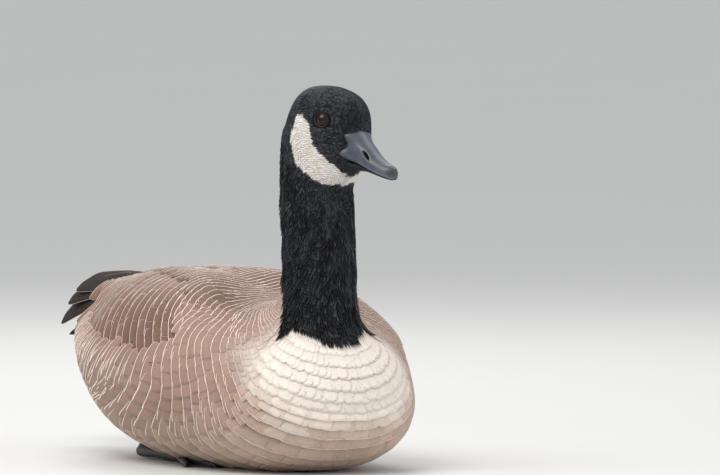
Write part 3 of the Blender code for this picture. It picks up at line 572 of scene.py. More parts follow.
def add(tree, kind, inputs=None, **settings):
    """Adds a node with its settings; an input is a value, or a socket that it is linked to."""
    node = tree.nodes.new(kind)
    for key, value in settings.items():
        setattr(node, key, value)
    for key, value in (inputs or {}).items():
        if isinstance(value, bpy.types.NodeSocket):
            tree.links.new(value, node.inputs[key])
        else:
            node.inputs[key].default_value = value
    return node


def fresh(name):
    """An empty material with its shader and the object's own coordinates."""
    made = bpy.data.materials.new(name)
    made.use_nodes = True
    tree = made.node_tree
    tree.nodes.clear()
    shader = add(tree, "ShaderNodeBsdfPrincipled")
    out = add(tree, "ShaderNodeOutputMaterial")
    tree.links.new(shader.outputs[0], out.inputs[0])
    coords = add(tree, "ShaderNodeTexCoord").outputs["Object"]
    return made, tree, shader, coords


def plumage(name, fringe, wobble, barb, contrast, band, shaft, rough, sheen, sheen_tint, bump):
    """Feather keratin, barbed and matt: a vane streaked by its barbs (mm apart) in a contrast,
    darker by a band inside its edge, an edge of its own colour fringe mm wide that wobbles, and
    a dark shaft that many mm wide, or none."""
    made, tree, shader, coords = fresh(name)

    def sum_of(a, b, c=0.0):
        return add(tree, "ShaderNodeMath", {0: a, 1: b, 2: c}, operation="MULTIPLY_ADD").outputs[0]

    tint = add(tree, "ShaderNodeAttribute", attribute_name="tint").outputs["Color"]
    edge = add(tree, "ShaderNodeAttribute", attribute_name="edge").outputs["Color"]
    lie = add(tree, "ShaderNodeAttribute", attribute_name="lie").outputs["Vector"]
    span = add(tree, "ShaderNodeAttribute", attribute_name="span").outputs["Vector"]
    lie = add(tree, "ShaderNodeSeparateXYZ", {0: lie}).outputs
    span = add(tree, "ShaderNodeSeparateXYZ", {0: span}).outputs
    across, along, luck = sum_of(lie[0], span[0]), sum_of(lie[1], span[1]), lie[2]
    wide = add(tree, "ShaderNodeMath", {0: across}, operation="ABSOLUTE").outputs[0]
    side_gap = add(tree, "ShaderNodeMath", {0: span[0], 1: wide}, operation="SUBTRACT").outputs[0]
    side_gap = sum_of(side_gap, 5.0)
    tip_gap = add(tree, "ShaderNodeMath", {0: span[1], 1: along}, operation="SUBTRACT").outputs[0]
    rim = add(
        tree, "ShaderNodeMath", {0: side_gap, 1: tip_gap, 2: 0.8}, operation="SMOOTH_MIN"
    ).outputs[0]
    speck = add(tree, "ShaderNodeTexNoise", {"Vector": coords, "Scale": 420.0, "Detail": 2.0})
    rim = add(tree, "ShaderNodeMath", {0: rim, 1: span[2]}, operation="DIVIDE").outputs[0]
    rim_at = sum_of(speck.outputs["Fac"], wobble, rim)
    pale = add(
        tree,
        "ShaderNodeMapRange",
        {"Value": rim_at, 1: wobble / 2 + fringe * 0.55, 2: wobble / 2 + fringe, 3: 1.0, 4: 0.0},
        interpolation_type="SMOOTHSTEP",
    ).outputs[0]
    dusk = add(
        tree,
        "ShaderNodeMapRange",
        {"Value": rim_at, 1: wobble / 2 + fringe, 2: wobble / 2 + fringe * 7, 3: 1 - band, 4: 1.0},
        interpolation_type="SMOOTHSTEP",
    ).outputs[0]
    pitch = sum_of(sum_of(wide, -0.8, along), 1.0 / barb)
    lane = add(
        tree, "ShaderNodeCombineXYZ", {0: sum_of(across, 0.12), 1: pitch, 2: sum_of(luck, 61.0)}
    ).outputs[0]
    barbs = add(tree, "ShaderNodeTexNoise", {"Vector": lane, "Scale": 1.0, "Detail": 3.0})
    barbs = barbs.outputs["Fac"]
    streak = add(
        tree, "ShaderNodeMapRange", {"Value": barbs, 1: 0.25, 2: 0.75, 3: 1 - contrast, 4: 1 + contrast}
    ).outputs[0]
    each = add(tree, "ShaderNodeMapRange", {"Value": luck, 3: 0.93, 4: 1.07}).outputs[0]
    # Painted shade: each vane darkens from its tip towards its root, where the feather over it covers it
    painted_shade_to_root = add(
        tree, "ShaderNodeMapRange", {"Value": tip_gap, 1: fringe * 2, 2: fringe * 20, 3: 1.06, 4: 0.72}
    ).outputs[0]
    tone = sum_of(sum_of(sum_of(streak, each), dusk), painted_shade_to_root)
    body = add(tree, "ShaderNodeVectorMath", {0: tint, "Scale": tone}, operation="SCALE").outputs[0]
    hue = add(
        tree, "ShaderNodeMix", {0: pale, 6: body, 7: edge}, data_type="RGBA", blend_type="MIX"
    ).outputs[2]
    if shaft:
        line = add(
            tree, "ShaderNodeMapRange", {"Value": wide, 1: shaft * 0.3, 2: shaft, 3: 0.62, 4: 1.0}
        ).outputs[0]
        hue = add(tree, "ShaderNodeVectorMath", {0: hue, "Scale": line}, operation="SCALE").outputs[0]
    tree.links.new(hue, shader.inputs["Base Color"])
    gloss = add(tree, "ShaderNodeMapRange", {"Value": barbs, 3: rough - 0.08, 4: rough + 0.1})
    tree.links.new(gloss.outputs[0], shader.inputs["Roughness"])
    relief = add(
        tree, "ShaderNodeBump", {"Height": barbs, "Strength": bump, "Distance": barb * 0.35 * MM}
    )
    tree.links.new(relief.outputs[0], shader.inputs["Normal"])
    shader.inputs["IOR"].default_value = 1.54
    shader.inputs["Specular IOR Level"].default_value = 0.12
    shader.inputs["Sheen Weight"].default_value = sheen
    shader.inputs["Sheen Roughness"].default_value = 0.45
    shader.inputs["Sheen Tint"].default_value = (*linear(sheen_tint), 1)
    return made


def down_material(name):
    """Down on skin, short and matt: what shows between two feathers, darkened as painted shade."""
    made, tree, shader, coords = fresh(name)
    tint = add(tree, "ShaderNodeAttribute", attribute_name="tint").outputs["Color"]
    fluff = add(tree, "ShaderNodeTexNoise", {"Vector": coords, "Scale": 700.0, "Detail": 4.0})
    # Noise mottles the down, and its range below 1 darkens it as painted shade between the feathers
    tone = add(tree, "ShaderNodeMapRange", {"Value": fluff.outputs["Fac"], 3: 0.45, 4: 0.95}).outputs[0]
    body = add(tree, "ShaderNodeVectorMath", {0: tint, "Scale": tone}, operation="SCALE").outputs[0]
    tree.links.new(body, shader.inputs["Base Color"])
    relief = add(
        tree, "ShaderNodeBump", {"Height": fluff.outputs["Fac"], "Strength": 0.6, "Distance": 0.6 * MM}
    )
    tree.links.new(relief.outputs[0], shader.inputs["Normal"])
    shader.inputs["Roughness"].default_value = 0.85
    shader.inputs["IOR"].default_value = 1.54
    return made


def horn_material(colours):
    """Bill horn, grown and satin: slate, mottled, paler with a painted highlight on its ridges, black with
    painted shade in its hollows.
    """
    made, tree, shader, coords = fresh("bill_horn")
    cloud = add(tree, "ShaderNodeTexNoise", {"Vector": coords, "Scale": 130.0, "Detail": 5.0})
    spread = add(tree, "ShaderNodeMapRange", {"Value": cloud.outputs["Fac"], 1: 0.3, 2: 0.7}).outputs[0]
    share = add(tree, "ShaderNodeAttribute", attribute_name="horn").outputs["Vector"]
    share = add(tree, "ShaderNodeSeparateXYZ", {0: share}).outputs

    def blend(amount, a, b):
        node = add(tree, "ShaderNodeMix", {0: amount, 6: a, 7: b}, data_type="RGBA")
        return node.outputs[2]

    hue = blend(spread, (*colours.bill_dark, 1), (*colours.bill, 1))
    # Painted highlight: the ridges mix towards a paler slate
    hue = blend(share[0], hue, (*colours.bill_highlight, 1))
    hue = blend(share[2], hue, (*colours.bill_flesh, 1))
    # Black where the points say: painted shade in the nostrils and along the mouth, and darker horn elsewhere
    hue = blend(share[1], hue, (0.006, 0.006, 0.007, 1))
    tree.links.new(hue, shader.inputs["Base Color"])
    # Grain of 0.6 mm, about twice the real one so that it shows
    grain = add(tree, "ShaderNodeTexNoise", {"Vector": coords, "Scale": 1600.0, "Detail": 3.0})
    relief = add(
        tree, "ShaderNodeBump", {"Height": grain.outputs["Fac"], "Strength": 0.25, "Distance": 0.15 * MM}
    )
    tree.links.new(relief.outputs[0], shader.inputs["Normal"])
    gloss = add(tree, "ShaderNodeMapRange", {"Value": cloud.outputs["Fac"], 3: 0.28, 4: 0.5})
    tree.links.new(gloss.outputs[0], shader.inputs["Roughness"])
    dull = add(tree, "ShaderNodeMapRange", {"Value": share[1], 1: 0.5, 2: 1.0, 3: 0.5, 4: 0.05})
    tree.links.new(dull.outputs[0], shader.inputs["Specular IOR Level"])
    shader.inputs["IOR"].default_value = 1.55
    return made


def leg_material(colours):
    """Scaled leg skin, leathery: dark with paler wear on the plates, and a soft shine."""
    made, tree, shader, coords = fresh("leg_leather")
    cells = add(tree, "ShaderNodeTexVoronoi", {"Vector": coords, "Scale": 520.0})
    hue = add(
        tree,
        "ShaderNodeMix",
        {0: cells.outputs["Distance"], 6: (*colours.leg, 1), 7: (*colours.bill_dark, 1)},
        data_type="RGBA",
    ).outputs[2]
    tree.links.new(hue, shader.inputs["Base Color"])
    relief = add(
        tree,
        "ShaderNodeBump",
        {"Height": cells.outputs["Distance"], "Strength": 0.5, "Distance": 0.3 * MM},
        invert=True,
    )
    tree.links.new(relief.outputs[0], shader.inputs["Normal"])
    shader.inputs["Roughness"].default_value = 0.5
    shader.inputs["IOR"].default_value = 1.5
    return made


def eye_material(colours):
    """A wet eye: near-black pupil in a dark brown iris, under a clear film that shines."""
    made, tree, shader, coords = fresh("wet_eye")
    ring = add(tree, "ShaderNodeAttribute", attribute_name="ring").outputs["Fac"]
    rays = add(tree, "ShaderNodeTexNoise", {"Vector": coords, "Scale": 900.0, "Detail": 3.0})
    fleck = add(
        tree,
        "ShaderNodeMix",
        {0: rays.outputs["Fac"], 6: (*colours.iris, 1), 7: (*colours.iris_pale, 1)},
        data_type="RGBA",
    ).outputs[2]
    pupil = add(
        tree,
        "ShaderNodeMapRange",
        {"Value": ring, 1: 3.1, 2: 3.4, 3: 0.0, 4: 1.0},
        interpolation_type="SMOOTHSTEP",
    ).outputs[0]
    limbus = add(
        tree,
        "ShaderNodeMapRange",
        {"Value": ring, 1: 4.6, 2: 5.8, 3: 1.0, 4: 0.15},
        interpolation_type="SMOOTHSTEP",
    ).outputs[0]
    share = add(tree, "ShaderNodeMath", {0: pupil, 1: limbus}, operation="MULTIPLY").outputs[0]
    hue = add(
        tree, "ShaderNodeMix", {0: share, 6: (0.003, 0.002, 0.002, 1), 7: fleck}, data_type="RGBA"
    ).outputs[2]
    tree.links.new(hue, shader.inputs["Base Color"])
    shader.inputs["Roughness"].default_value = 0.3
    shader.inputs["IOR"].default_value = 1.38
    shader.inputs["Specular IOR Level"].default_value = 0.0
    shader.inputs["Coat Weight"].default_value = 0.75
    shader.inputs["Coat Roughness"].default_value = 0.02
    shader.inputs["Coat IOR"].default_value = 1.5
    return made


def lid_material(black, lid):
    """Bare lid skin, thin and matt: a dusky line that sets the eye off from black feathers."""
    made, tree, shader, coords = fresh("lid_skin")
    blotch = add(tree, "ShaderNodeTexNoise", {"Vector": coords, "Scale": 900.0, "Detail": 4.0})
    rim = add(tree, "ShaderNodeAttribute", attribute_name="rim").outputs["Fac"]
    hue = add(
        tree, "ShaderNodeMix", {0: rim, 6: (*black, 1), 7: (*lid, 1)}, data_type="RGBA"
    ).outputs[2]
    tree.links.new(hue, shader.inputs["Base Color"])
    relief = add(
        tree, "ShaderNodeBump", {"Height": blotch.outputs["Fac"], "Strength": 0.5, "Distance": 0.15 * MM}
    )
    tree.links.new(relief.outputs[0], shader.inputs["Normal"])
    shader.inputs["Roughness"].default_value = 0.6
    shader.inputs["IOR"].default_value = 1.42
    shader.inputs["Specular IOR Level"].default_value = 0.2
    return made


def floor_material(colours):
    """Matt painted board: pale and even, with a trace of mottle."""
    made, tree, shader, coords = fresh("floor_paint")
    mottle = add(tree, "ShaderNodeTexNoise", {"Vector": coords, "Scale": 3.0, "Detail": 4.0})
    deep = tuple(v * 0.97 for v in colours.floor)
    hue = add(
        tree,
        "ShaderNodeMix",
        {0: mottle.outputs["Fac"], 6: (*deep, 1), 7: (*colours.floor, 1)},
        data_type="RGBA",
    ).outputs[2]
    tree.links.new(hue, shader.inputs["Base Color"])
    shader.inputs["Roughness"].default_value = 0.7
    return made


# Settings


def colour(name, description, code):
    """A colour setting from its sRGB hex code."""
    return bpy.props.FloatVectorProperty(
        name=name,
        description=description,
        default=linear(code),
        subtype="COLOR",
        size=3,
        min=0.0,
        max=1.0,
    )


class GooseColours(bpy.types.PropertyGroup):
    black: colour("Black", "Feathers of head and neck", "111012")
    glint: colour("Glint", "Blue grey where the neck's feathers catch light", "454A51")
    cheek: colour("Cheek", "The pale cheek", "FFFBF5")
    cheek_shade: colour("Cheek shade", "The cheek's warmer parts", "F7ECE1")
    belly: colour("Belly", "Belly, paler than the flanks", "C2AA99")
    breast: colour("Breast", "Breast below the neck", "EADFD5")
    breast_edge: colour("Breast edge", "Edges of the breast's feathers", "F4ECE4")
    flank: colour("Flank", "Flank feathers", "A28678")
    flank_edge: colour("Flank edge", "Edges of the flank's feathers", "FFF0E5")
    mantle: colour("Mantle", "Back feathers", "765B4D")
    mantle_edge: colour("Mantle edge", "Edges of the back's feathers", "EAD6C8")
    wing: colour("Wing", "Wing coverts", "7F6253")
    wing_edge: colour("Wing edge", "Tips of the coverts", "FFF0E4")
    white: colour("White", "Vent and the feathers over the tail", "EFEBE4")
    quill: colour("Quill", "Flight and tail quills", "2A1D18")


class GooseFinishes(bpy.types.PropertyGroup):
    bill: colour("Bill", "Horn of the bill", "4C555F")
    bill_dark: colour("Bill dark", "The bill's deeper mottle", "353B43")
    # Painted highlight along the bill's ridges
    bill_highlight: colour("Bill worn", "Worn ridges of the bill", "8C949C")
    bill_flesh: colour("Bill flesh", "Fleshy rim of the nostrils", "8C7F7E")
    leg: colour("Leg", "Legs and feet", "3A3835")
    iris: colour("Iris", "Iris", "1C0B06")
    iris_pale: colour("Iris fleck", "Flecks in the iris", "2C120B")
    lid: colour("Lid", "Rim of the lids", "86705F")
    floor: colour("Floor", "Floor of the stage", "DAD9D6")


def length_mm(name, description, value):
    """A length setting from its value in mm."""
    return bpy.props.FloatProperty(
        name=name, description=description, default=value * MM, unit="LENGTH", min=0.0
    )


class GooseSizes(bpy.types.PropertyGroup):
    head_coat: length_mm("Head coat", "Depth of the feathers on the head", 1.1)
    body_coat: length_mm("Body coat", "Depth of the feathers on the trunk", 2.6)
    head_tuft: length_mm("Head tuft", "Length of a head feather", 5.0)
    neck_tuft: length_mm("Neck tuft", "Length of a neck feather", 11.0)
    lid_opening: length_mm("Lid opening", "Half height of the open eye", 5.5)
    camera_tilt: bpy.props.FloatProperty(
        name="Camera tilt",
        description="How far the camera looks down",
        default=math.radians(3),
        subtype="ANGLE",
    )
    camera_turn: bpy.props.FloatProperty(
        name="Camera turn",
        description="How far the camera stands to the bird's right of straight ahead",
        default=math.radians(25),
        subtype="ANGLE",
    )


# Pieces

FLOOR_REACH, FLOOR_LEVEL = 60.0, -0.0003
CAMERA_AIM, CAMERA_AWAY = (0.1015, -0.0778, 0.2011), 19.0
PICTURE_WIDTH = 0.648  # metres across the picture at the bird
LAMPS_AIM = (0.0, 0.0, 0.15)
# Lamps: name, place (m), size (m), power (W), colour
LAMPS = (
    ("key", (-1.2, -0.8, 2.1), 1.6, 38.0, (1.0, 0.98, 0.95)),
    ("rim", (0.6, 1.7, 1.6), 1.0, 16.0, (1.0, 0.99, 0.97)),
    ("fill", (1.6, -1.6, 1.0), 1.6, 7.0, (0.95, 0.97, 1.0)),
)


class GOOSE_OT_stage(bpy.types.Operator):
    """Floor, lights and a camera at the photo's angle"""

    bl_idname = "goose.stage"
    bl_label = "Stage"

    def execute(self, context):
        scene = context.scene
        sizes, finishes = scene.goose_sizes, scene.goose_finishes
        mesh = bpy.data.meshes.new("floor")
        corners = [(x * FLOOR_REACH, y * FLOOR_REACH) for x, y in ((-1, -1), (1, -1), (1, 1), (-1, 1))]
        mesh.from_pydata([(x, y, FLOOR_LEVEL) for x, y in corners], [], [(0, 1, 2, 3)])
        mesh.materials.append(floor_material(finishes))
        floor = bpy.data.objects.new("floor", mesh)
        scene.collection.objects.link(floor)
        world = bpy.data.worlds.new("soft_sky")
        world.use_nodes = True
        backdrop = world.node_tree.nodes["Background"]
        backdrop.inputs["Color"].default_value = (0.95, 0.97, 1.0, 1)
        backdrop.inputs["Strength"].default_value = 0.72
        scene.world = world
        scene.view_settings.view_transform = "Standard"
        for name, place, size, watts, hue in LAMPS:
            light = bpy.data.lights.new(name, "AREA")
            light.size, light.energy, light.color = size, watts, hue
            lamp = bpy.data.objects.new(name, light)
            lamp.location = place
            lamp.rotation_euler = (Vector(LAMPS_AIM) - Vector(place)).to_track_quat("-Z", "Y").to_euler()
            lamp.visible_camera = False
            scene.collection.objects.link(lamp)
        tilt, turn = sizes.camera_tilt, sizes.camera_turn
        look = Vector((math.sin(turn) * math.cos(tilt), math.cos(turn) * math.cos(tilt), -math.sin(tilt)))
        lens = bpy.data.cameras.new("camera")
        lens.sensor_width = 36.0
        lens.lens = lens.sensor_width * CAMERA_AWAY / PICTURE_WIDTH
        lens.clip_start, lens.clip_end = 1.0, 200.0
        camera = bpy.data.objects.new("camera", lens)
        camera.location = Vector(CAMERA_AIM) - look * CAMERA_AWAY
        camera.rotation_euler = look.to_track_quat("-Z", "Y").to_euler()
        scene.collection.objects.link(camera)
        scene.camera = camera
        return {"FINISHED"}


def coat_depth(u, sizes):
    """How far the skin lies inside the outer form, in metres."""
    return sizes.head_coat + (sizes.body_coat - sizes.head_coat) * smooth(u, 12.5, 16.0)


class GOOSE_OT_skin(bpy.types.Operator):
    """One skin from the bill to the root of the tail, under all the feathers"""

    bl_idname = "goose.skin"
    bl_label = "Skin"

    def execute(self, context):
        scene = context.scene
        sizes = scene.goose_sizes
        stations = np.concatenate((np.linspace(0, 10, 61)[:-1], np.linspace(10, 28.9, 150)))
        count = 144
        phi = -math.pi + 2 * math.pi * np.arange(count) / count
        u, angle = np.meshgrid(stations, phi, indexing="ij")
        point, _, _, normal = shape_at(skin_form, u, angle)
        point = point - normal * coat_depth(u, sizes)[..., None]
        point[..., 2] = np.maximum(point[..., 2], BELLY_CLEAR * MM)
        vane, _ = markings(u, angle, point, scene.goose_colours)
        ends = [point[0].mean(axis=0), point[-1].mean(axis=0)]
        verts = np.vstack((point.reshape(-1, 3), ends))
        rows = len(stations)
        index = np.arange(rows * count).reshape(rows, count)
        after = np.roll(index, -1, axis=1)
        quads = np.stack((index[:-1], after[:-1], after[1:], index[1:]), -1).reshape(-1, 4).tolist()
        front, back = rows * count, rows * count + 1
        caps = [(front, int(b), int(a)) for a, b in zip(index[0], after[0])]
        caps += [(back, int(a), int(b)) for a, b in zip(index[-1], after[-1])]
        mesh = bpy.data.meshes.new("skin")
        mesh.from_pydata(verts.tolist(), [], quads + caps)
        mesh.polygons.foreach_set("use_smooth", np.ones(len(mesh.polygons), bool))
        tint = np.vstack((vane.reshape(-1, 3), vane[0].mean(axis=0), vane[-1].mean(axis=0)))
        tint = np.hstack((tint, np.ones((len(tint), 1)))).astype(np.float32)
        mesh.attributes.new("tint", "FLOAT_COLOR", "POINT").data.foreach_set("color", tint.reshape(-1))
        down = down_material("down_under_feathers")
        piece("skin", mesh, down, "body_plumage", "torso", "neck", "head")
        return {"FINISHED"}


HEAD_TUFT = Vane(
    rows=(0.0, 0.35, 0.7, 1.0),
    columns=2,
    widths=([0, 0.4, 0.8, 1], [0.7, 1, 0.8, 0.2]),
    notch=0.3, tip=1.4, sink=1.0, rise=0.5, crown=0.45, roll=0.2, ragged=0.0, thick=0.0,
)
NECK_TUFT = Vane(
    rows=(0.0, 0.3, 0.6, 0.85, 1.0),
    columns=2,
    widths=([0, 0.4, 0.8, 1], [0.6, 1, 0.8, 0.16]),
    notch=0.25, tip=1.4, sink=1.2, rise=1.0, crown=0.6, roll=0.25, ragged=0.0, thick=0.0,
)
# Distance between rows of head feathers and along a row, by station (mm)
HEAD_GAP = ([0, 2, 6, 10], [1.2, 1.5, 1.9, 2.3])
HEAD_PITCHES = ([0, 3, 10], [1.3, 1.65, 2.1])


def glints(vane, edge, colours, often, most, seed):
    """Makes some of the black feathers blue grey, as where they catch the light."""
    draw = np.random.default_rng(seed)
    share = draw.uniform(0.2, 1.0, len(vane)) * most * (draw.uniform(0, 1, len(vane)) < often)
    share = share * (vane.mean(axis=-1) < 0.05)
    shine = np.array(colours.glint)
    return mix(vane, shine, share), mix(edge, shine * 1.2, share)


class GOOSE_OT_head_coat(bpy.types.Operator):
    """Small close feathers of the head"""

    bl_idname = "goose.head_coat"
    bl_label = "Head coat"

    def execute(self, context):
        scene = context.scene
        sizes = scene.goose_sizes
        length = sizes.head_tuft / MM
        stations = steps(skin_form, -0.12, 9.9, 75, lambda u: np.interp(u, *HEAD_GAP))
        u, phi = tiers(skin_form, stations, *ALL_ROUND, lambda u: np.interp(u, *HEAD_PITCHES), 1)
        point = skin_form(u, phi)
        ahead, side, up = np.moveaxis(head_place(point), -1, 0)
        reach = np.hypot((ahead - EYE_LEAD) / EYE_OVAL, up)
        length = length * np.interp(u, [0, 1.5, 4, 10], [0.5, 0.7, 1.0, 1.6])
        tip = np.hypot((ahead - EYE_LEAD - length * 0.8) / EYE_OVAL, up)
        keep = (reach > 7.0) & (tip > 6.4)
        u, phi, length = u[keep], phi[keep], length[keep]
        width = np.interp(u, [0, 3, 10], [1.9, 2.4, 2.9])
        heading = 12 * ripple(point[keep], 0.02, 21) + 9 * ripple(point[keep], 0.006, 22)
        pale = (cheek_depth(ahead, side, up) > 0)[keep]
        part = lay_feathers(
            skin_form, u, phi, heading, length, width, HEAD_TUFT, 31, scale=np.where(pale, 0.75, 1.0)
        )
        part["place"] = skin_place(u, phi)
        middle = part["points"][:, 2, 1]
        vane, edge = markings(u, phi, middle, scene.goose_colours)
        vane, edge = glints(vane, edge, scene.goose_colours, 0.5, 1.2, 23)
        mesh = coat_mesh("head_coat", [paint(part, vane, edge)], 0.003)
        black = plumage(
            "head_feathers", fringe=0.25, wobble=0.2, barb=0.35, contrast=0.22, band=0.1, shaft=0.0,
            rough=0.46, sheen=0.3, sheen_tint="B8BCC6", bump=0.35,
        )
        piece("head_coat", mesh, black, "black_plumage")
        return {"FINISHED"}


class GOOSE_OT_neck_coat(bpy.types.Operator):
    """Narrow pointed feathers of the neck, gathered in furrows"""

    bl_idname = "goose.neck_coat"
    bl_label = "Neck coat"

    def execute(self, context):
        scene = context.scene
        sizes = scene.goose_sizes
        stations = steps(skin_form, 7.4, 15.4, 90, lambda u: 2.9)
        u, phi = tiers(skin_form, stations, *ALL_ROUND, lambda u: 2.1, 2)
        edge_at = np.interp(np.abs(np.degrees(phi)), *NECK_EDGE)
        point = skin_form(u, phi)
        ahead, side, up = np.moveaxis(head_place(point), -1, 0)
        clear = cheek_depth(ahead, side, up) < -1.0
        per_u = np.linalg.norm(shape_at(skin_form, u, phi)[1], axis=-1) / MM
        short = 8.5 + 0.8 * ripple(point, 0.008, 47)
        keep = (u < edge_at - short / per_u) & (clear | (u > 9.8))
        keep &= u + 0.4 * ripple(point, 0.012, 46) > 8.2
        u, phi, point = u[keep], phi[keep], point[keep]
        furrow = ripple(point * np.array((1, 1, 0.35)), 0.010, 41)
        heading = 13 * ripple(point, 0.03, 42) + 10 * ripple(point, 0.012, 43)
        length = sizes.neck_tuft / MM * (1 + 0.15 * ripple(point, 0.05, 44))
        part = lay_feathers(
            skin_form, u, phi, heading, length, 2.7, NECK_TUFT, 45, lift=0.6 * furrow, scale=1 + 0.5 * furrow
        )
        part["place"] = skin_place(u, phi)
        # Read well inside the black, so that tufts over its lower edge are black too
        throat = np.full(len(u), 2.5)
        vane, edge = markings(np.minimum(u, 12), throat, point, scene.goose_colours)
        vane, edge = glints(vane, edge, scene.goose_colours, 0.42, 0.8, 48)
        mesh = coat_mesh("neck_coat", [paint(part, vane, edge)], 0.003)
        black = plumage(
            "neck_feathers", fringe=0.3, wobble=0.25, barb=0.5, contrast=0.25, band=0.15, shaft=0.0,
            rough=0.4, sheen=0.12, sheen_tint="A2A8B4", bump=0.5,
        )
        piece("neck_coat", mesh, black, "black_plumage")
        return {"FINISHED"}


BREAST_VANE = Vane(
    rows=(0.0, 0.4, 0.75, 1.0),
    columns=4,
    widths=([0, 0.3, 0.7, 0.9, 1], [0.7, 1.0, 1.0, 0.95, 0.75]),
    notch=0.14, tip=2.0, sink=0.9, rise=0.3, crown=0.1, roll=0.05, ragged=0.02, thick=0.12,
)
BODY_VANE = Vane(
    rows=(0.0, 0.4, 0.7, 0.88, 0.96, 1.0),
    columns=8,
    widths=([0, 0.3, 0.7, 0.93, 1], [0.6, 0.95, 1.0, 1.0, 0.95]),
    notch=0.06, tip=3.4, sink=2.8, rise=1.5, crown=0.2, roll=0.05, ragged=0.0, thick=0.14,
)
# Distance between rows of body feathers and their width, by station (mm)
BODY_GAP = (
    [13.5, 14.5, 15.5, 16.5, 17.5, 19, 20.5, 25, 27.5],
    [3.0, 3.2, 3.7, 5.0, 6.8, 7.6, 8.4, 8.8, 8.4],
)
BODY_WIDTH = (
    [13.5, 14.5, 15.5, 16.5, 17.5, 18.5, 20, 25, 28.6],
    [5, 5.5, 7, 10, 14, 17, 20, 20, 14],
)
FLANK_START, BACK_EDGE = 18.2, 40  # station behind the breast, degrees from the top line
ROW_SKEW = 0.65  # share of a row's slope taken up by the feathers' tips; they turn by the rest


def slant_at(u):
    """How far the flank's rows of feathers trail rearwards, in stations per radian downwards."""
    return np.interp(u, [14.2, 18.5, 28.6], [0.0, 5.0, 0.0])


def slanted(u, phi):
    """The station of a feather root after its row's slant, and the slope of the row there."""
    degrees = np.abs(np.degrees(phi))
    run = np.clip((degrees - 50) / 16, 0, 4.0)
    drop = np.radians(16) * np.where(run < 1, run**2 / 2, run - 0.5)
    moved = u + slant_at(u) * drop
    _, along, round_, _ = shape_at(coat_form, moved, phi)
    lean = slant_at(u) * np.clip(run, 0, 1) * (1 - smooth(degrees, 112, 140))
    return moved, lean * np.linalg.norm(along, axis=-1) / np.linalg.norm(round_, axis=-1)


class GOOSE_OT_body_feathers(bpy.types.Operator):
    """Contour feathers of breast, flanks, belly, back and rump"""

    bl_idname = "goose.body_feathers"
    bl_label = "Body feathers"

    def execute(self, context):
        scene = context.scene
        colours = scene.goose_colours
        stations = steps(coat_form, 12.2, 28.6, 85, lambda u: np.interp(u, *BODY_GAP))
        u, phi = tiers(
            coat_form, stations, *ALL_ROUND, lambda u: np.interp(u, *BODY_WIDTH) * 0.8, 3, 0.1
        )
        row = u
        draw = np.random.default_rng(57)
        loose = (1 - smooth(row, 16.0, 17.5)) * smooth(np.abs(np.degrees(phi)), 80, 100)
        phi = phi + loose * draw.uniform(-0.02, 0.02, len(phi))
        u, slope = slanted(u + loose * draw.uniform(-0.015, 0.015, len(u)), phi)
        degrees = np.abs(np.degrees(phi))
        wing_u = u - WING_OFFSET
        under = np.interp(wing_u, *WING_LOW) + 1 + 6 * smooth(slope, 0.2, 1.2)
        hidden = (wing_u > 2.0) & (wing_u < 9.8) & (degrees < under)
        hidden &= degrees > np.interp(wing_u, *WING_TOP) + 6
        beyond = u - np.interp(degrees, *NECK_EDGE)
        keep = ~hidden & (beyond > -0.7) & (u < 28.6)
        beyond = beyond[keep]
        row, u, phi, degrees, slope = (v[keep] for v in (row, u, phi, degrees, slope))
        wing_u = u - WING_OFFSET
        point = skin_form(u, phi)
        slope = np.arctan(slope)
        width = np.interp(u, *BODY_WIDTH) * 1.3 * np.cos(ROW_SKEW * slope) / np.cos(slope)
        length = np.interp(row, *BODY_GAP) * np.interp(u, [14.2, 17, 20], [3.6, 3.6, 3.3])
        heading = 4 * ripple(point, 0.05, 51) - (1 - ROW_SKEW) * np.degrees(slope)
        scale = np.interp(u, [12.5, 15, 17, 20, 26], [0.45, 0.55, 0.75, 1.0, 0.9])
        top, low = np.interp(wing_u, *WING_TOP), np.interp(wing_u, *WING_LOW)
        lift = 2.0 * smooth(wing_u, 0.6, 1.6) * smooth(degrees, 20, 30) * (1 - smooth(degrees, 76, 90))
        lift = np.maximum(lift, 1.4 * smooth(wing_u, 0.6, 2.6) * (1 - smooth(degrees, top + 2, top + 9)))
        lift = np.maximum(lift, 1.8 * smooth(wing_u, 1.0, 3.0) * (1 - smooth(degrees, low + 14, low + 34)))
        lift = lift - 0.9 * (1 - smooth(beyond, -0.5, 0.5))
        vane, edge = markings(np.where(beyond < 0.4, u + 0.4 - beyond, u), phi, point, colours)
        downy = (u < 16.8) & (degrees > 84)
        width, length = np.where(downy, width * 1.2, width), np.where(downy, length * 1.2, length)
        regions = {
            "breast_feathers": (u < FLANK_START) & (degrees >= BACK_EDGE),
            "flank_feathers_left": (u >= FLANK_START) & (degrees >= BACK_EDGE) & (phi >= 0),
            "flank_feathers_right": (u >= FLANK_START) & (degrees >= BACK_EDGE) & (phi < 0),
            "back_feathers": degrees < BACK_EDGE,
        }
        finish = plumage(
            "contour_feathers", fringe=1.35, wobble=0.3, barb=0.8, contrast=0.12, band=0.1, shaft=0.0,
            rough=0.6, sheen=0.05, sheen_tint="FFF2E6", bump=0.4,
        )
        for k, (name, at) in enumerate(regions.items()):
            parts = []
            for kind, here in ((BODY_VANE, at & ~downy), (BREAST_VANE, at & downy)):
                if not here.any():
                    continue
                part = lay_feathers(
                    coat_form, u[here], phi[here], heading[here], length[here], width[here], kind, 52 + k,
                    lift=lift[here], scale=scale[here], skew=np.tan(ROW_SKEW * slope[here]),
                )
                if kind is BREAST_VANE:
                    part["lie"][..., 2] = 0.35 + 0.3 * part["lie"][..., 2]
                part["span"][..., 2] = np.clip(length[here] / 36, 0.3, 1.0)[:, None, None]
                part["place"] = skin_place(u[here], phi[here])
                parts.append(paint(part, vane[here], edge[here]))
            mesh = coat_mesh(name, parts, 0.003)
            piece(name, mesh, finish, "body_plumage")
        return {"FINISHED"}


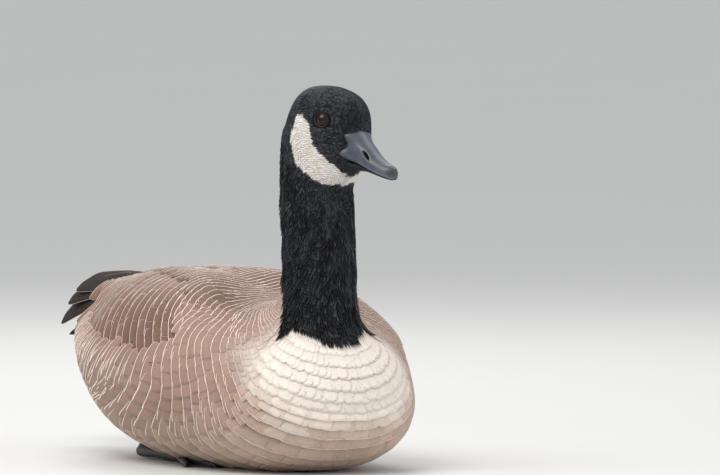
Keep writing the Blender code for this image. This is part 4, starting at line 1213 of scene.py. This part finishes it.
COVERT = Vane(
    rows=(0.0, 0.3, 0.5, 0.65, 0.78, 0.87, 0.93, 0.97, 1.0),
    columns=12,
    widths=([0, 0.25, 0.7, 0.95, 1], [0.5, 0.9, 1.0, 1.0, 0.96]),
    notch=0.045, tip=3.6, sink=3.4, rise=1.6, crown=0.2, roll=0.05, ragged=0.0, thick=0.14,
)
# Distance between tiers of coverts and their width, by wing station (mm)
COVERT_GAP = ([0.6, 1.5, 3, 4.5, 7, 10.5], [5.5, 7.5, 10.5, 13, 15, 16])
COVERT_WIDTH = ([0.6, 2, 3.5, 5, 11], [13, 22, 30, 36, 36])


def tier_top(u):
    """Where a tier of coverts starts, in degrees, a little past the wing's upper edge."""
    return np.interp(u, *WING_TOP) + np.interp(u, [0.6, 3, 11], [-5, -4, -2])


def tier_low(u):
    """Where a tier of coverts ends, in degrees, a little past the wing's lower edge."""
    return np.interp(u, *WING_LOW) + 5


def wing_core(side):
    """The closed bed that the wing's feathers lie on, between its upper and lower edge."""
    rows, columns = 40, 18
    u = np.linspace(0.6, 11.4, rows)[:, None] * np.ones((1, columns))
    share = np.linspace(0, 1, columns)[None, :]
    phi = side * np.radians(np.interp(u, *WING_TOP) * (1 - share) + np.interp(u, *WING_LOW) * share)
    point, _, _, normal = shape_at(wing_form, u, phi)
    edge = np.minimum(np.arange(rows)[:, None], np.arange(rows)[::-1, None])
    edge = np.minimum(edge, np.minimum(np.arange(columns), np.arange(columns)[::-1])[None, :])
    depth = np.where(edge == 0, 5.5, 2.6)
    over = point - normal * (depth * MM)[..., None]
    under = point - normal * (8.0 * MM)
    return over, under


def shell_faces(rows, columns, flip):
    """Quads of a closed sheet: its upper grid, its lower grid and its rim."""
    index = np.arange(rows * columns).reshape(rows, columns)
    size = rows * columns
    top = np.stack((index[:-1, :-1], index[:-1, 1:], index[1:, 1:], index[1:, :-1]), -1).reshape(-1, 4)
    under = top[:, ::-1] + size
    rim = np.concatenate((index[0, :-1], index[:-1, -1], index[-1, :0:-1], index[:0:-1, 0]))
    after = np.roll(rim, -1)
    wall = np.stack((after, rim, rim + size, after + size), -1)
    faces = np.concatenate((top, under, wall))
    return faces[:, ::-1] if flip else faces


class GOOSE_OT_wings(bpy.types.Operator):
    """Folded wings: their beds and the tiers of coverts on them"""

    bl_idname = "goose.wings"
    bl_label = "Wings"

    def execute(self, context):
        scene = context.scene
        colours = scene.goose_colours
        finish = plumage(
            "covert_vanes", fringe=0.8, wobble=0.3, barb=1.1, contrast=0.09, band=0.08, shaft=0.3,
            rough=0.55, sheen=0.05, sheen_tint="FFF0E4", bump=0.4,
        )
        bed = down_material("wing_down")
        wing, edge = np.array(colours.wing), np.array(colours.wing_edge)
        for side, word in ((1, "left"), (-1, "right")):
            over, under = wing_core(side)
            rows, columns = over.shape[:2]
            mesh = bpy.data.meshes.new("wing_bed_" + word)
            verts = np.concatenate((over.reshape(-1, 3), under.reshape(-1, 3)))
            mesh.from_pydata(verts.tolist(), [], shell_faces(rows, columns, side < 0).tolist())
            # Painted shade: the bed, seen only through gaps between the coverts, takes the wing's colour
            # darkened
            tint = np.tile((*(wing * 0.8), 1.0), (len(verts), 1)).astype(np.float32)
            mesh.attributes.new("tint", "FLOAT_COLOR", "POINT").data.foreach_set("color", tint.reshape(-1))
            mesh.polygons.foreach_set("use_smooth", np.ones(len(mesh.polygons), bool))
            piece("wing_bed_" + word, mesh, bed, "wing_plumage", "wing_" + word)
            stations = steps(wing_form, 1.2, 11.3, 45, lambda u: np.interp(u, *COVERT_GAP))
            u, phi = tiers(
                wing_form, stations, tier_top, tier_low,
                lambda u: np.interp(u, *COVERT_WIDTH) * 0.8, 61, wander=0.08,
            )
            shown = (u < 9.8) | (np.degrees(phi) < 46)
            u, phi = u[shown], phi[shown] * side
            width = np.interp(u, *COVERT_WIDTH) * 1.34
            shorter = np.interp(u, [8.0, 10.0, 11.3], [1.0, 0.5, 0.35])
            length = (np.interp(u, *COVERT_GAP) * 3.0 + 3) * shorter
            heading = np.interp(u, [0.6, 3, 6, 10], [4, 2, 0, -4])
            part = lay_feathers(
                wing_form, u, phi, heading, length, width, COVERT, 62 + side,
                scale=np.interp(u, [0.6, 4], [0.6, 1.0]),
            )
            point = wing_form(u, phi)
            share = 0.5 + 0.5 * ripple(point, 0.09, 64)
            tint = mix(wing * 0.92 + 0 * point, wing * 1.12, share)
            part["place"] = skin_place(u, np.abs(phi))
            paint(part, tint, edge + 0 * point)
            mesh = coat_mesh("coverts_" + word, [part], 0.012)
            piece("coverts_" + word, mesh, finish, "wing_plumage")
        return {"FINISHED"}


def blade(start, end, across, up, width, vane, luck, sag=0.0):
    """A long quill from root to tip in the frame, with the same grid as a laid feather."""
    start, end, across, up = (np.asarray(v, float) for v in (start, end, across, up))
    b, a = vane.rows[:, None], np.linspace(-1, 1, vane.columns + 1)[None, :]
    way = end - start
    length = np.linalg.norm(way)
    half = np.interp(vane.rows, *vane.widths)[:, None] * width / 2
    cut = 1 - vane.notch * np.abs(a) ** vane.tip * b**3
    x, y = half * a, b * cut
    over = vane.crown * MM * (1 - a**2) - sag * b**2 - vane.roll * MM * a * b
    grid = start + way * y[..., None] + across * x[..., None] + up * over[..., None]
    marks = vane_marks(vane, [width], [length], [luck])
    return dict(points=grid[None], down=-up[None] * vane.thick * MM, **marks)


QUILL = Vane(
    rows=np.sin(np.linspace(0, math.pi / 2, 26)),
    columns=12,
    widths=(
        [0, 0.15, 0.5, 0.84, 0.9, 0.94, 0.97, 0.99, 1],
        [0.5, 0.8, 1.0, 1.0, 0.96, 0.88, 0.74, 0.55, 0.3],
    ),
    notch=0.0, tip=2.2, sink=0.0, rise=0.0, crown=0.8, roll=0.5, ragged=0.0, thick=0.5,
)
# The long quills of a folded wing: forward, side and height of root and tip (m), width (mm)
# and how far it is turned over (degrees)
PRIMARIES = [
    ((-0.188, 0.012, 0.1535), (-0.3077, 0.018, 0.1500), 30, 38),
    ((-0.196, 0.020, 0.1540), (-0.3160, 0.024, 0.1380), 31, 46),
    ((-0.202, 0.030, 0.1470), (-0.3260, 0.028, 0.1200), 32, 54),
]
TAIL_ROOT, TAIL_LENGTH = (-0.236, 0.110), 0.101
TAIL_QUILLS, TAIL_STEP, TAIL_STACK, TAIL_SINK = 17, 0.0065, 0.0017, 0.05
TAIL_WIDTH, TAIL_SPREAD = 0.022, 5.0  # width of a tail quill (m), turn of the outermost (degrees)


def spot(forward, side, height):
    """A point in the frame from metres forward of the wing joint, to the left and up."""
    return np.array((side, TRUNK_SHIFT - forward, height))


class GOOSE_OT_quills(bpy.types.Operator):
    """Dark flight quills over the tail, and the fan of the tail"""

    bl_idname = "goose.quills"
    bl_label = "Quills"

    def execute(self, context):
        scene = context.scene
        colours = scene.goose_colours
        dark = np.array(colours.quill)
        finish = plumage(
            "flight_quills", fringe=0.7, wobble=0.3, barb=1.0, contrast=0.16, band=0.0, shaft=0.9,
            rough=0.65, sheen=0.0, sheen_tint="FFFFFF", bump=0.5,
        )
        for side, word in ((1, "left"), (-1, "right")):
            parts = []
            for k, (root, tip, width, turned) in enumerate(PRIMARIES):
                lean = math.radians(turned)
                start = spot(root[0], side * root[1], root[2])
                end = spot(tip[0], side * tip[1], tip[2])
                way = (end - start) / np.linalg.norm(end - start)
                across = np.array((side * math.cos(lean), 0.0, -math.sin(lean)))
                across -= way * across.dot(way)
                across /= np.linalg.norm(across)
                up = np.cross(way, across) * -side
                if side < 0:
                    across = -across
                part = blade(start, end, across, up, width * MM, QUILL, 0.15 * k, sag=0.005)
                part["place"] = np.array([(k * 0.5, 0.0)])
                parts.append(paint(part, np.array([dark]), np.array([colours.mantle_edge]) * 0.7))
            mesh = coat_mesh("primaries_" + word, parts, 0.08)
            piece("primaries_" + word, mesh, finish, "wing_plumage")
        parts = []
        order = sorted(np.linspace(-1, 1, TAIL_QUILLS), key=abs, reverse=True)
        for k, place in enumerate(order):
            turn = math.radians(TAIL_SPREAD * place)
            heading = np.array((math.sin(turn), math.cos(turn), -TAIL_SINK))
            across = np.array((math.cos(turn), -math.sin(turn), 0.0))
            start = spot(TAIL_ROOT[0], place * TAIL_STEP, TAIL_ROOT[1] - TAIL_STACK * abs(place) * 4)
            end = start + heading * TAIL_LENGTH * (1.0 - 0.10 * place**2)
            up = np.array((0.0, 0.0, 1.0))
            part = blade(start, end, -across, up, TAIL_WIDTH, QUILL, 0.05 * k)
            part["place"] = np.array([(k * 0.5, 0.0)])
            parts.append(paint(part, np.array([dark * 0.5]), np.array([dark * 0.9])))
        mesh = coat_mesh("tail_quills", parts, 0.04)
        piece("tail_quills", mesh, finish, "quills", "tail")
        return {"FINISHED"}


def soft_mesh(name, verts, faces):
    """A mesh from points and faces, turned outwards and shaded smooth."""
    mesh = bpy.data.meshes.new(name)
    mesh.from_pydata(np.asarray(verts, float).tolist(), [], faces)
    form = bmesh.new()
    form.from_mesh(mesh)
    bmesh.ops.recalc_face_normals(form, faces=form.faces)
    form.to_mesh(mesh)
    form.free()
    mesh.polygons.foreach_set("use_smooth", np.ones(len(mesh.polygons), bool))
    return mesh


def ring_faces(rings, count):
    """Quads between rings of count points, with a fan to a last point at each end."""
    faces = []
    for r in range(rings - 1):
        for k in range(count):
            a, b = r * count + k, r * count + (k + 1) % count
            faces.append((a, b, b + count, a + count))
    front, back = rings * count, rings * count + 1
    last = (rings - 1) * count
    for k in range(count):
        n = (k + 1) % count
        faces += [(front, n, k), (back, last + k, last + n)]
    return faces


def point_value(mesh, name, values):
    """A number for each point, which a material or a node tree reads by name."""
    mesh.attributes.new(name, "FLOAT", "POINT").data.foreach_set("value", np.asarray(values, np.float32))


def point_horn(mesh, highlight=0.0, dark=0.0, flesh=0.0):
    """How far each point of horn is made pale by a painted highlight, black, and fleshy."""
    parts = np.broadcast_arrays(highlight, dark, flesh, np.zeros(len(mesh.vertices)))
    values = np.clip(np.stack(parts[:3], -1), 0, 1).astype(np.float32).reshape(-1)
    mesh.attributes.new("horn", "FLOAT_VECTOR", "POINT").data.foreach_set("vector", values)


def eye_point(side, ahead, out, up):
    """Points in mm about the centre of an eye, along the way it faces."""
    c, s = math.cos(EYE_TURN), math.sin(EYE_TURN)
    return head_point(ahead * c + out * s, side * (EYE_SIDE + out * c - ahead * s), up)


class GOOSE_OT_eyes(bpy.types.Operator):
    """Eyeballs and the rims of the lids round them"""

    bl_idname = "goose.eyes"
    bl_label = "Eyes"

    def execute(self, context):
        scene = context.scene
        sizes, finishes = scene.goose_sizes, scene.goose_finishes
        wet, lid = eye_material(finishes), lid_material(scene.goose_colours.black, finishes.lid)
        rings, count = 48, 64
        polar = np.linspace(0, math.pi, rings + 2)[1:-1][:, None]
        round_ = np.linspace(0, 2 * math.pi, count, endpoint=False)[None, :]
        reach = EYE_RADIUS * np.sin(polar) * np.ones_like(round_)
        out = EYE_RADIUS * np.cos(polar) + 0.25 * np.exp(-((reach / 3.4) ** 2)) * (np.cos(polar) > 0)
        ahead, up = reach * np.cos(round_), reach * np.sin(round_)
        opening = sizes.lid_opening / MM
        bead = [(-0.05, -0.4), (-0.12, 0.30), (0.12, 0.62), (0.5, 0.72), (1.1, 0.62), (1.9, 0.4)]
        bead += [(3.0, -0.4), (3.8, -2.0), (3.0, -3.2), (1.2, -2.2)]
        for side, word in ((1, "left"), (-1, "right")):
            grid = eye_point(side, ahead, out, up)
            poles = [eye_point(side, 0, s, 0) for s in (EYE_RADIUS + 0.25, -EYE_RADIUS)]
            mesh = soft_mesh("eye_" + word, np.vstack((grid.reshape(-1, 3), poles)), ring_faces(rings, count))
            ring = np.where(out > 0, reach, 9.0).reshape(-1)
            point_value(mesh, "ring", np.concatenate((ring, (0.0, 9.0))))
            piece("eyeball_" + word, mesh, wet, "eye", "eye_" + word)
            verts, rim = [], []
            turns = np.linspace(0, 2 * math.pi, 96, endpoint=False)
            wave = 0.10 * np.sin(turns * 17 + 1.3 * side) * np.sin(turns * 5)
            level = math.sqrt(EYE_RADIUS**2 - opening**2)
            for j, (more, rise) in enumerate(bead):
                radius = opening + more + wave * (0 < j < 5)
                corner = 1 + 0.05 * np.abs(np.cos(turns)) ** 8
                x = radius * (1.08 - 0.01 * more) * corner * np.cos(turns)
                z = radius * np.sin(turns)
                hood = 0.3 * np.clip(np.sin(turns), 0, 1) * (0 < j < 6)
                lean = -0.10 * x * (more > 0.5)
                verts.append(eye_point(side, x, level + rise + hood + lean, z))
                rim.append(np.full(len(turns), 0.5 if j == 2 else 0.05 if j in (1, 3) else 0.0))
            verts = np.stack(verts)
            rows, size = verts.shape[:2]
            index = np.arange(rows * size).reshape(rows, size)
            nexts = np.roll(index, -1, axis=1)
            down = np.roll(index, -1, axis=0)
            faces = np.stack((index, nexts, np.roll(nexts, -1, axis=0), down), -1).reshape(-1, 4)
            mesh = soft_mesh("lid_" + word, verts.reshape(-1, 3), faces.tolist())
            point_value(mesh, "rim", np.concatenate(rim))
            piece("lid_" + word, mesh, lid, "black_plumage")
        return {"FINISHED"}


# Bill ribs (mm): ahead, top, bottom, half width, widest place, squareness
UPPER_BILL = np.array([
    (14.0, -3.0, -32.0, 13.2, 0.45, 3.2), (21.0, -4.0, -32.4, 13.6, 0.45, 3.4),
    (27.3, -6.2, -32.8, 13.6, 0.42, 3.4), (35.0, -12.4, -33.8, 12.1, 0.36, 2.9),
    (42.0, -17.2, -34.8, 11.5, 0.28, 2.7), (50.0, -22.2, -36.0, 10.9, 0.24, 2.5),
    (58.0, -25.6, -37.2, 10.4, 0.20, 2.4), (65.0, -27.5, -38.3, 9.6, 0.20, 2.4),
    (70.3, -28.4, -39.1, 7.8, 0.20, 2.4), (74.0, -29.8, -39.7, 5.2, 0.20, 2.4),
    (76.0, -32.8, -39.8, 2.2, 0.20, 2.4),
])
LOWER_BILL = np.array([
    (14.0, -32.2, -38.6, 12.6, 0.72, 2.3), (21.0, -32.4, -39.0, 12.8, 0.72, 2.3),
    (27.3, -32.6, -39.4, 12.4, 0.72, 2.3), (38.0, -34.0, -39.8, 10.6, 0.72, 2.3),
    (47.0, -35.4, -38.6, 9.6, 0.72, 2.3), (57.0, -36.8, -39.2, 8.8, 0.72, 2.3),
    (66.0, -38.2, -40.0, 7.0, 0.72, 2.3), (70.8, -39.1, -40.5, 4.6, 0.72, 2.3),
    (73.2, -39.6, -40.6, 2.0, 0.72, 2.3),
])
# Nostril: ahead, up, half length and half height (mm); nail: ahead, up (mm)
NOSTRIL, NOSTRIL_TILT = (45.8, -23.6, 6.4, 1.45), math.radians(36)
NAIL, NAIL_RADII, NAIL_TILT = (70.6, -34.1), np.array((6.2, 6.0, 5.2)), math.radians(24)


def bill_grid(ribs, rings, count):
    """Ahead, side and up of the points of a bill half, in mm, ring by ring."""
    u = np.linspace(0, len(ribs) - 1, rings)[:, None] * np.ones((1, count))
    ahead, top, bottom, half, widest, square = np.moveaxis(read_rows(ribs, u), -1, 0)
    phi = 2 * math.pi * np.arange(count)[None, :] / count
    rise = power(np.cos(phi), 2 / square)
    share = np.where(rise > 0, widest + (1 - widest) * rise, widest * (1 + rise))
    side = power(np.sin(phi), 2 / square) * half
    return ahead, side, bottom + (top - bottom) * share


class GOOSE_OT_bill(bpy.types.Operator):
    """Upper bill with nostrils and nail, lower bill, and the comb along the mouth"""

    bl_idname = "goose.bill"
    bl_label = "Bill"

    def execute(self, context):
        finishes = context.scene.goose_finishes
        horn = horn_material(finishes)
        rings, count = 170, 120
        ahead, side, up = bill_grid(UPPER_BILL, rings, count)
        flare = 5.2 * np.exp(-(((up + 27) / 5.5) ** 2)) * (1 - smooth(ahead, 21, 33))
        flare += 4.2 * np.exp(-(((up + 10) / 4.5) ** 2)) * (1 - smooth(ahead, 20, 32))
        side = side + np.sign(side) * flare * smooth(np.abs(side), 6, 12)
        # nostril pit with its raised rim
        c, s = math.cos(NOSTRIL_TILT), math.sin(NOSTRIL_TILT)
        dx, dz = ahead - NOSTRIL[0], up - NOSTRIL[1]
        along, over = dx * c - dz * s, dx * s + dz * c
        reach = np.hypot(along / NOSTRIL[2], over / NOSTRIL[3])
        flank = smooth(np.abs(side), 4, 7)
        pit = -4.0 * (1 - smooth(reach, 0.3, 0.95)) + 0.45 * np.exp(-(((reach - 1.35) / 0.35) ** 2))
        side = side + np.sign(side) * pit * flank
        # the edge over the mouth
        over_mouth = up - np.interp(ahead, UPPER_BILL[:, 0], UPPER_BILL[:, 2])
        edge = 0.45 * np.exp(-(((over_mouth - 1.6) / 1.1) ** 2))
        side = side + np.sign(side) * edge * smooth(ahead, 26, 34) * smooth(np.abs(side), 2, 5)
        # the nail stands out of the tip
        c, s = math.cos(NAIL_TILT), math.sin(NAIL_TILT)
        dx, dz = ahead - NAIL[0], up - NAIL[1]
        local = np.stack((dx * c - dz * s, side, dx * s + dz * c), -1) / NAIL_RADII
        size = np.maximum(np.linalg.norm(local, axis=-1, keepdims=True), 1e-6)
        floor = np.interp(ahead, UPPER_BILL[:, 0], UPPER_BILL[:, 2])
        grows = (size[..., 0] < 1) & (ahead > 64)
        local = np.where(grows[..., None], local / size, local) * NAIL_RADII
        x = NAIL[0] + local[..., 0] * c + local[..., 2] * s
        z = NAIL[1] - local[..., 0] * s + local[..., 2] * c
        ahead = np.where(grows, x, ahead)
        up = np.where(grows, np.maximum(z, floor), up)
        side = np.where(grows, local[..., 1], side)
        grid = head_point(ahead, side, up)
        ends = [grid[0].mean(axis=0), grid[-1].mean(axis=0)]
        mesh = soft_mesh("bill_upper", np.vstack((grid.reshape(-1, 3), ends)), ring_faces(rings, count))
        low = np.interp(ahead, UPPER_BILL[:, 0], UPPER_BILL[:, 2])
        # Painted highlight: paler along the middle of the top and on the edge over the mouth
        ridge_highlight = 0.45 * np.exp(-((side / 3.5) ** 2)) * (up > -30) * (1 - grows) + 0.7 * edge
        # Painted shade: black inside the nostrils and along the mouth under the upper bill; the nail and the
        # seam round it are darker horn
        hole = (1 - smooth(reach, 0.75, 1.0)) * flank
        seam = np.exp(-(((size[..., 0] - 1.08) / 0.05) ** 2)) * (ahead > 64)
        dark = np.maximum(hole, 0.42 * grows + 0.5 * seam + 1.0 * (up < low + 0.5))
        flesh = 0.25 * np.exp(-(((reach - 1.35) / 0.25) ** 2)) * flank * (over > 0)
        ends = (0.0, 0.0)
        highlight, dark, flesh = (np.append(v.reshape(-1), ends) for v in (ridge_highlight, dark, flesh))
        point_horn(mesh, highlight, dark, flesh)
        piece("bill_over", mesh, horn, "horn", "bill_upper")
        rings, count = 70, 72
        ahead, side, up = bill_grid(LOWER_BILL, rings, count)
        grid = head_point(ahead, side, up)
        ends = [grid[0].mean(axis=0), grid[-1].mean(axis=0)]
        mesh = soft_mesh("bill_lower", np.vstack((grid.reshape(-1, 3), ends)), ring_faces(rings, count))
        point_horn(mesh, dark=0.85)
        piece("bill_under", mesh, horn, "horn", "bill_lower")
        # comb of small plates along the mouth
        lines = []
        for way in (1, -1):
            x = np.linspace(34, 66, 33)
            half = np.interp(x, UPPER_BILL[:, 0], UPPER_BILL[:, 3]) - 1.3
            low = np.interp(x, UPPER_BILL[:, 0], UPPER_BILL[:, 2]) + 0.05
            lines.append(head_point(x, way * half, low))
        comb = beads("comb", lines, [0.55] * 33, 46, 0.25, horn)
        point_horn(comb, dark=0.5)
        piece("bill_comb", comb, horn, "horn")
        return {"FINISHED"}


def bead_tree():
    """Geometry nodes that set rounded plates along each path, as wide as the path says."""
    tree = bpy.data.node_groups.new("plates_on_path", "GeometryNodeTree")
    face = tree.interface
    face.new_socket("Geometry", in_out="INPUT", socket_type="NodeSocketGeometry")
    face.new_socket("Plates", in_out="INPUT", socket_type="NodeSocketInt")
    face.new_socket("Plate length", in_out="INPUT", socket_type="NodeSocketFloat")
    face.new_socket("Finish", in_out="INPUT", socket_type="NodeSocketMaterial")
    face.new_socket("Geometry", in_out="OUTPUT", socket_type="NodeSocketGeometry")
    given = add(tree, "NodeGroupInput").outputs
    curve = add(tree, "GeometryNodeMeshToCurve", {"Mesh": given["Geometry"]}).outputs[0]
    spread = add(
        tree, "GeometryNodeCurveToPoints", {"Curve": curve, "Count": given["Plates"]}, mode="COUNT"
    )
    girth = add(tree, "GeometryNodeInputNamedAttribute", {"Name": "girth"}, data_type="FLOAT")
    size = add(
        tree,
        "ShaderNodeCombineXYZ",
        {0: girth.outputs[0], 1: girth.outputs[0], 2: given["Plate length"]},
    ).outputs[0]
    plate = add(tree, "GeometryNodeMeshUVSphere", {"Segments": 10, "Rings": 6, "Radius": 1.0})
    placed = add(
        tree,
        "GeometryNodeInstanceOnPoints",
        {
            "Points": spread.outputs["Points"],
            "Instance": plate.outputs["Mesh"],
            "Rotation": spread.outputs["Rotation"],
            "Scale": size,
        },
    ).outputs[0]
    real = add(tree, "GeometryNodeRealizeInstances", {0: placed}).outputs[0]
    soft = add(tree, "GeometryNodeSetShadeSmooth", {0: real}).outputs[0]
    done = add(
        tree, "GeometryNodeSetMaterial", {"Geometry": soft, "Material": given["Finish"]}
    ).outputs[0]
    out = add(tree, "NodeGroupOutput")
    tree.links.new(done, out.inputs[0])
    return tree


def beads(name, lines, girths, plates, length, finish):
    """A plain mesh of plates along paths. Girths, one for each path point, and length in mm."""
    tree = bpy.data.node_groups.get("plates_on_path") or bead_tree()
    verts = np.concatenate(lines)
    edges, start = [], 0
    for line in lines:
        edges += [(start + k, start + k + 1) for k in range(len(line) - 1)]
        start += len(line)
    mesh = bpy.data.meshes.new(name + "_path")
    mesh.from_pydata(verts.tolist(), edges, [])
    point_value(mesh, "girth", np.tile(np.asarray(girths, float) * MM, len(lines)))
    path = bpy.data.objects.new(name + "_path", mesh)
    bpy.context.scene.collection.objects.link(path)
    made = path.modifiers.new("plates", "NODES")
    made.node_group = tree
    ids = {i.name: i.identifier for i in tree.interface.items_tree if i.in_out == "INPUT"}
    made[ids["Plates"]] = plates
    made[ids["Plate length"]] = length * MM
    made[ids["Finish"]] = finish
    graph = bpy.context.evaluated_depsgraph_get()
    result = bpy.data.meshes.new_from_object(path.evaluated_get(graph))
    result.name = name
    bpy.data.objects.remove(path)
    if not len(result.vertices):
        raise RuntimeError(name + " came out empty")
    return result


HEEL, ANKLE = (-0.086, 0.058, 0.0062), (-0.004, 0.058, 0.0056)
TOE_LENGTHS, TOE_TURNS = (0.070, 0.078, 0.062), (-15.0, 3.0, 21.0)
WEB_THICK = 0.0016


def tube(path, radii, rings, count):
    """Points and faces of a round limb through a path, resting on the floor."""
    path, radii = np.asarray(path, float), np.asarray(radii, float)
    at = np.linspace(0, len(path) - 1, rings)
    rows = np.hstack((path, radii[:, None]))
    rows = read_rows(rows, at)
    line, girth = rows[:, :3], rows[:, 3]
    way = np.gradient(line, axis=0)
    way /= np.linalg.norm(way, axis=1, keepdims=True)
    side = np.cross(way, (0, 0, 1.0))
    side /= np.linalg.norm(side, axis=1, keepdims=True)
    up = np.cross(side, way)
    turn = 2 * math.pi * np.arange(count) / count
    points = line[:, None] + girth[:, None, None] * (
        side[:, None] * np.cos(turn)[None, :, None] + up[:, None] * np.sin(turn)[None, :, None]
    )
    verts = np.vstack((points.reshape(-1, 3), line[0], line[-1]))
    verts[:, 2] = np.maximum(verts[:, 2], 0.0)
    return verts, ring_faces(rings, count)


def joined(shapes):
    """Several shapes as one list of points and one of faces."""
    verts, faces, start = [], [], 0
    for points, rings in shapes:
        verts.append(points)
        faces += [tuple(int(i) + start for i in face) for face in rings]
        start += len(points)
    return np.vstack(verts), faces


class GOOSE_OT_legs(bpy.types.Operator):
    """Legs and webbed feet tucked under the body, with plates along shank and toes, and claws"""

    bl_idname = "goose.legs"
    bl_label = "Legs"

    def execute(self, context):
        finishes = context.scene.goose_finishes
        leather, horn = leg_material(finishes), bpy.data.materials["bill_horn"]
        for side, word in ((1, "left"), (-1, "right")):
            heel, ankle = spot(HEEL[0], side * HEEL[1], HEEL[2]), spot(ANKLE[0], side * ANKLE[1], ANKLE[2])
            shank = [heel + (ankle - heel) * s for s in (0.0, 0.12, 0.5, 0.9, 1.0)]
            knee = spot(HEEL[0] + 0.030, side * 0.046, 0.048)
            low = spot(HEEL[0] + 0.003, side * HEEL[1], 0.0066)
            shapes = [tube(shank, [0.0048, 0.0053, 0.0041, 0.0047, 0.0043], 24, 20)]
            shapes.append(tube([low, low * 0.5 + knee * 0.5, knee], [0.0050, 0.0066, 0.0088], 16, 20))
            verts, faces = joined(shapes)
            piece("shank_" + word, soft_mesh("shank", verts, faces), leather, "leg_skin", "leg_" + word)
            root = spot(ANKLE[0] + 0.0056, side * ANKLE[1], 0.0042)
            toes, claws, lines = [], [], []
            levels = (0.0042, 0.0034, 0.0032, 0.0030)
            for reach, turn in zip(TOE_LENGTHS, TOE_TURNS):
                a = math.radians(turn)
                way = np.array((side * math.sin(a), -math.cos(a), 0.0)) * reach
                path = [root + way * s for s in (0.0, 0.33, 0.66, 0.94)]
                path = [np.array((p[0], p[1], z)) for p, z in zip(path, levels)]
                toes.append((path, way))
                claw = [root + way * s for s in (0.91, 1.0, 1.10)]
                claw = [np.array((p[0], p[1], z)) for p, z in zip(claw, (0.0032, 0.0034, 0.0012))]
                claws.append(tube(claw, [0.0024, 0.0018, 0.0004], 12, 12))
                lines.append(np.array(path))
            shapes = [tube(path, [0.0042, 0.0031, 0.0030, 0.0027], 28, 14) for path, _ in toes]
            hind = [root + np.array((-side * r, 0.004 * r / 0.012, 0.0)) for r in (0.001, 0.007, 0.012)]
            hind = [np.array((p[0], p[1], z)) for p, z in zip(hind, (0.0042, 0.0034, 0.0020))]
            shapes.append(tube(hind, [0.0030, 0.0022, 0.0009], 10, 12))
            for (_, first), (_, second) in ((toes[0], toes[1]), (toes[1], toes[2])):
                s, t = np.linspace(0.02, 1, 14)[:, None], np.linspace(0, 1, 13)[None, :]
                bay = 0.95 - 0.14 * np.sin(math.pi * t) ** 0.8
                way = first * (1 - t[..., None]) + second * t[..., None]
                over = root + way * (s * bay)[..., None]
                over[..., 2] = WEB_THICK + 0.0003 * np.sin(t * 9) * s
                under = over.copy()
                under[..., 2] = 0.0
                points = np.concatenate((over.reshape(-1, 3), under.reshape(-1, 3)))
                shapes.append((points, shell_faces(14, 13, False).tolist()))
            verts, faces = joined(shapes)
            piece("toes_" + word, soft_mesh("toes", verts, faces), leather, "leg_skin", "foot_" + word)
            verts, faces = joined(claws)
            mesh = soft_mesh("claws", verts, faces)
            point_horn(mesh, dark=0.6)
            piece("claws_" + word, mesh, horn, "horn")
            scutes = beads("toe_plates", lines, [4.3, 3.2, 3.1, 2.8], 20, 2.1, leather)
            rest_on_floor(scutes)
            piece("toe_plates_" + word, scutes, leather, "leg_skin")
            scutes = beads("shank_plates", [np.array(shank)], [4.9, 5.4, 4.25, 4.8, 4.4], 22, 2.6, leather)
            rest_on_floor(scutes)
            piece("shank_plates_" + word, scutes, leather, "leg_skin")
        return {"FINISHED"}


def rest_on_floor(mesh):
    """Flattens what would reach below the floor."""
    flat = np.empty(len(mesh.vertices) * 3, np.float32)
    mesh.vertices.foreach_get("co", flat)
    flat[2::3] = np.maximum(flat[2::3], 0.0)
    mesh.vertices.foreach_set("co", flat)
    mesh.update()


class GOOSE_PT_panel(bpy.types.Panel):
    """The goose's pieces and their settings"""

    bl_idname = "GOOSE_PT_panel"
    bl_label = "Goose"
    bl_space_type = "VIEW_3D"
    bl_region_type = "UI"
    bl_category = "Goose"

    def draw(self, context):
        layout = self.layout
        for kind in PIECES:
            layout.operator(kind.bl_idname)
        for group in (context.scene.goose_sizes, context.scene.goose_colours, context.scene.goose_finishes):
            for key in group.__annotations__:
                layout.prop(group, key)


PIECES = (
    GOOSE_OT_stage,
    GOOSE_OT_skin,
    GOOSE_OT_head_coat,
    GOOSE_OT_neck_coat,
    GOOSE_OT_body_feathers,
    GOOSE_OT_wings,
    GOOSE_OT_quills,
    GOOSE_OT_eyes,
    GOOSE_OT_bill,
    GOOSE_OT_legs,
)
CLASSES = (GooseSizes, GooseColours, GooseFinishes, *PIECES, GOOSE_PT_panel)


def register():
    for kind in CLASSES:
        bpy.utils.register_class(kind)
    bpy.types.Scene.goose_sizes = bpy.props.PointerProperty(type=GooseSizes)
    bpy.types.Scene.goose_colours = bpy.props.PointerProperty(type=GooseColours)
    bpy.types.Scene.goose_finishes = bpy.props.PointerProperty(type=GooseFinishes)


def unregister():
    del bpy.types.Scene.goose_sizes
    del bpy.types.Scene.goose_colours
    del bpy.types.Scene.goose_finishes
    for kind in reversed(CLASSES):
        bpy.utils.unregister_class(kind)


def main():
    register()
    for kind in PIECES:
        group, word = kind.bl_idname.split(".")
        getattr(getattr(bpy.ops, group), word)()


if __name__ == "__main__":
    main()
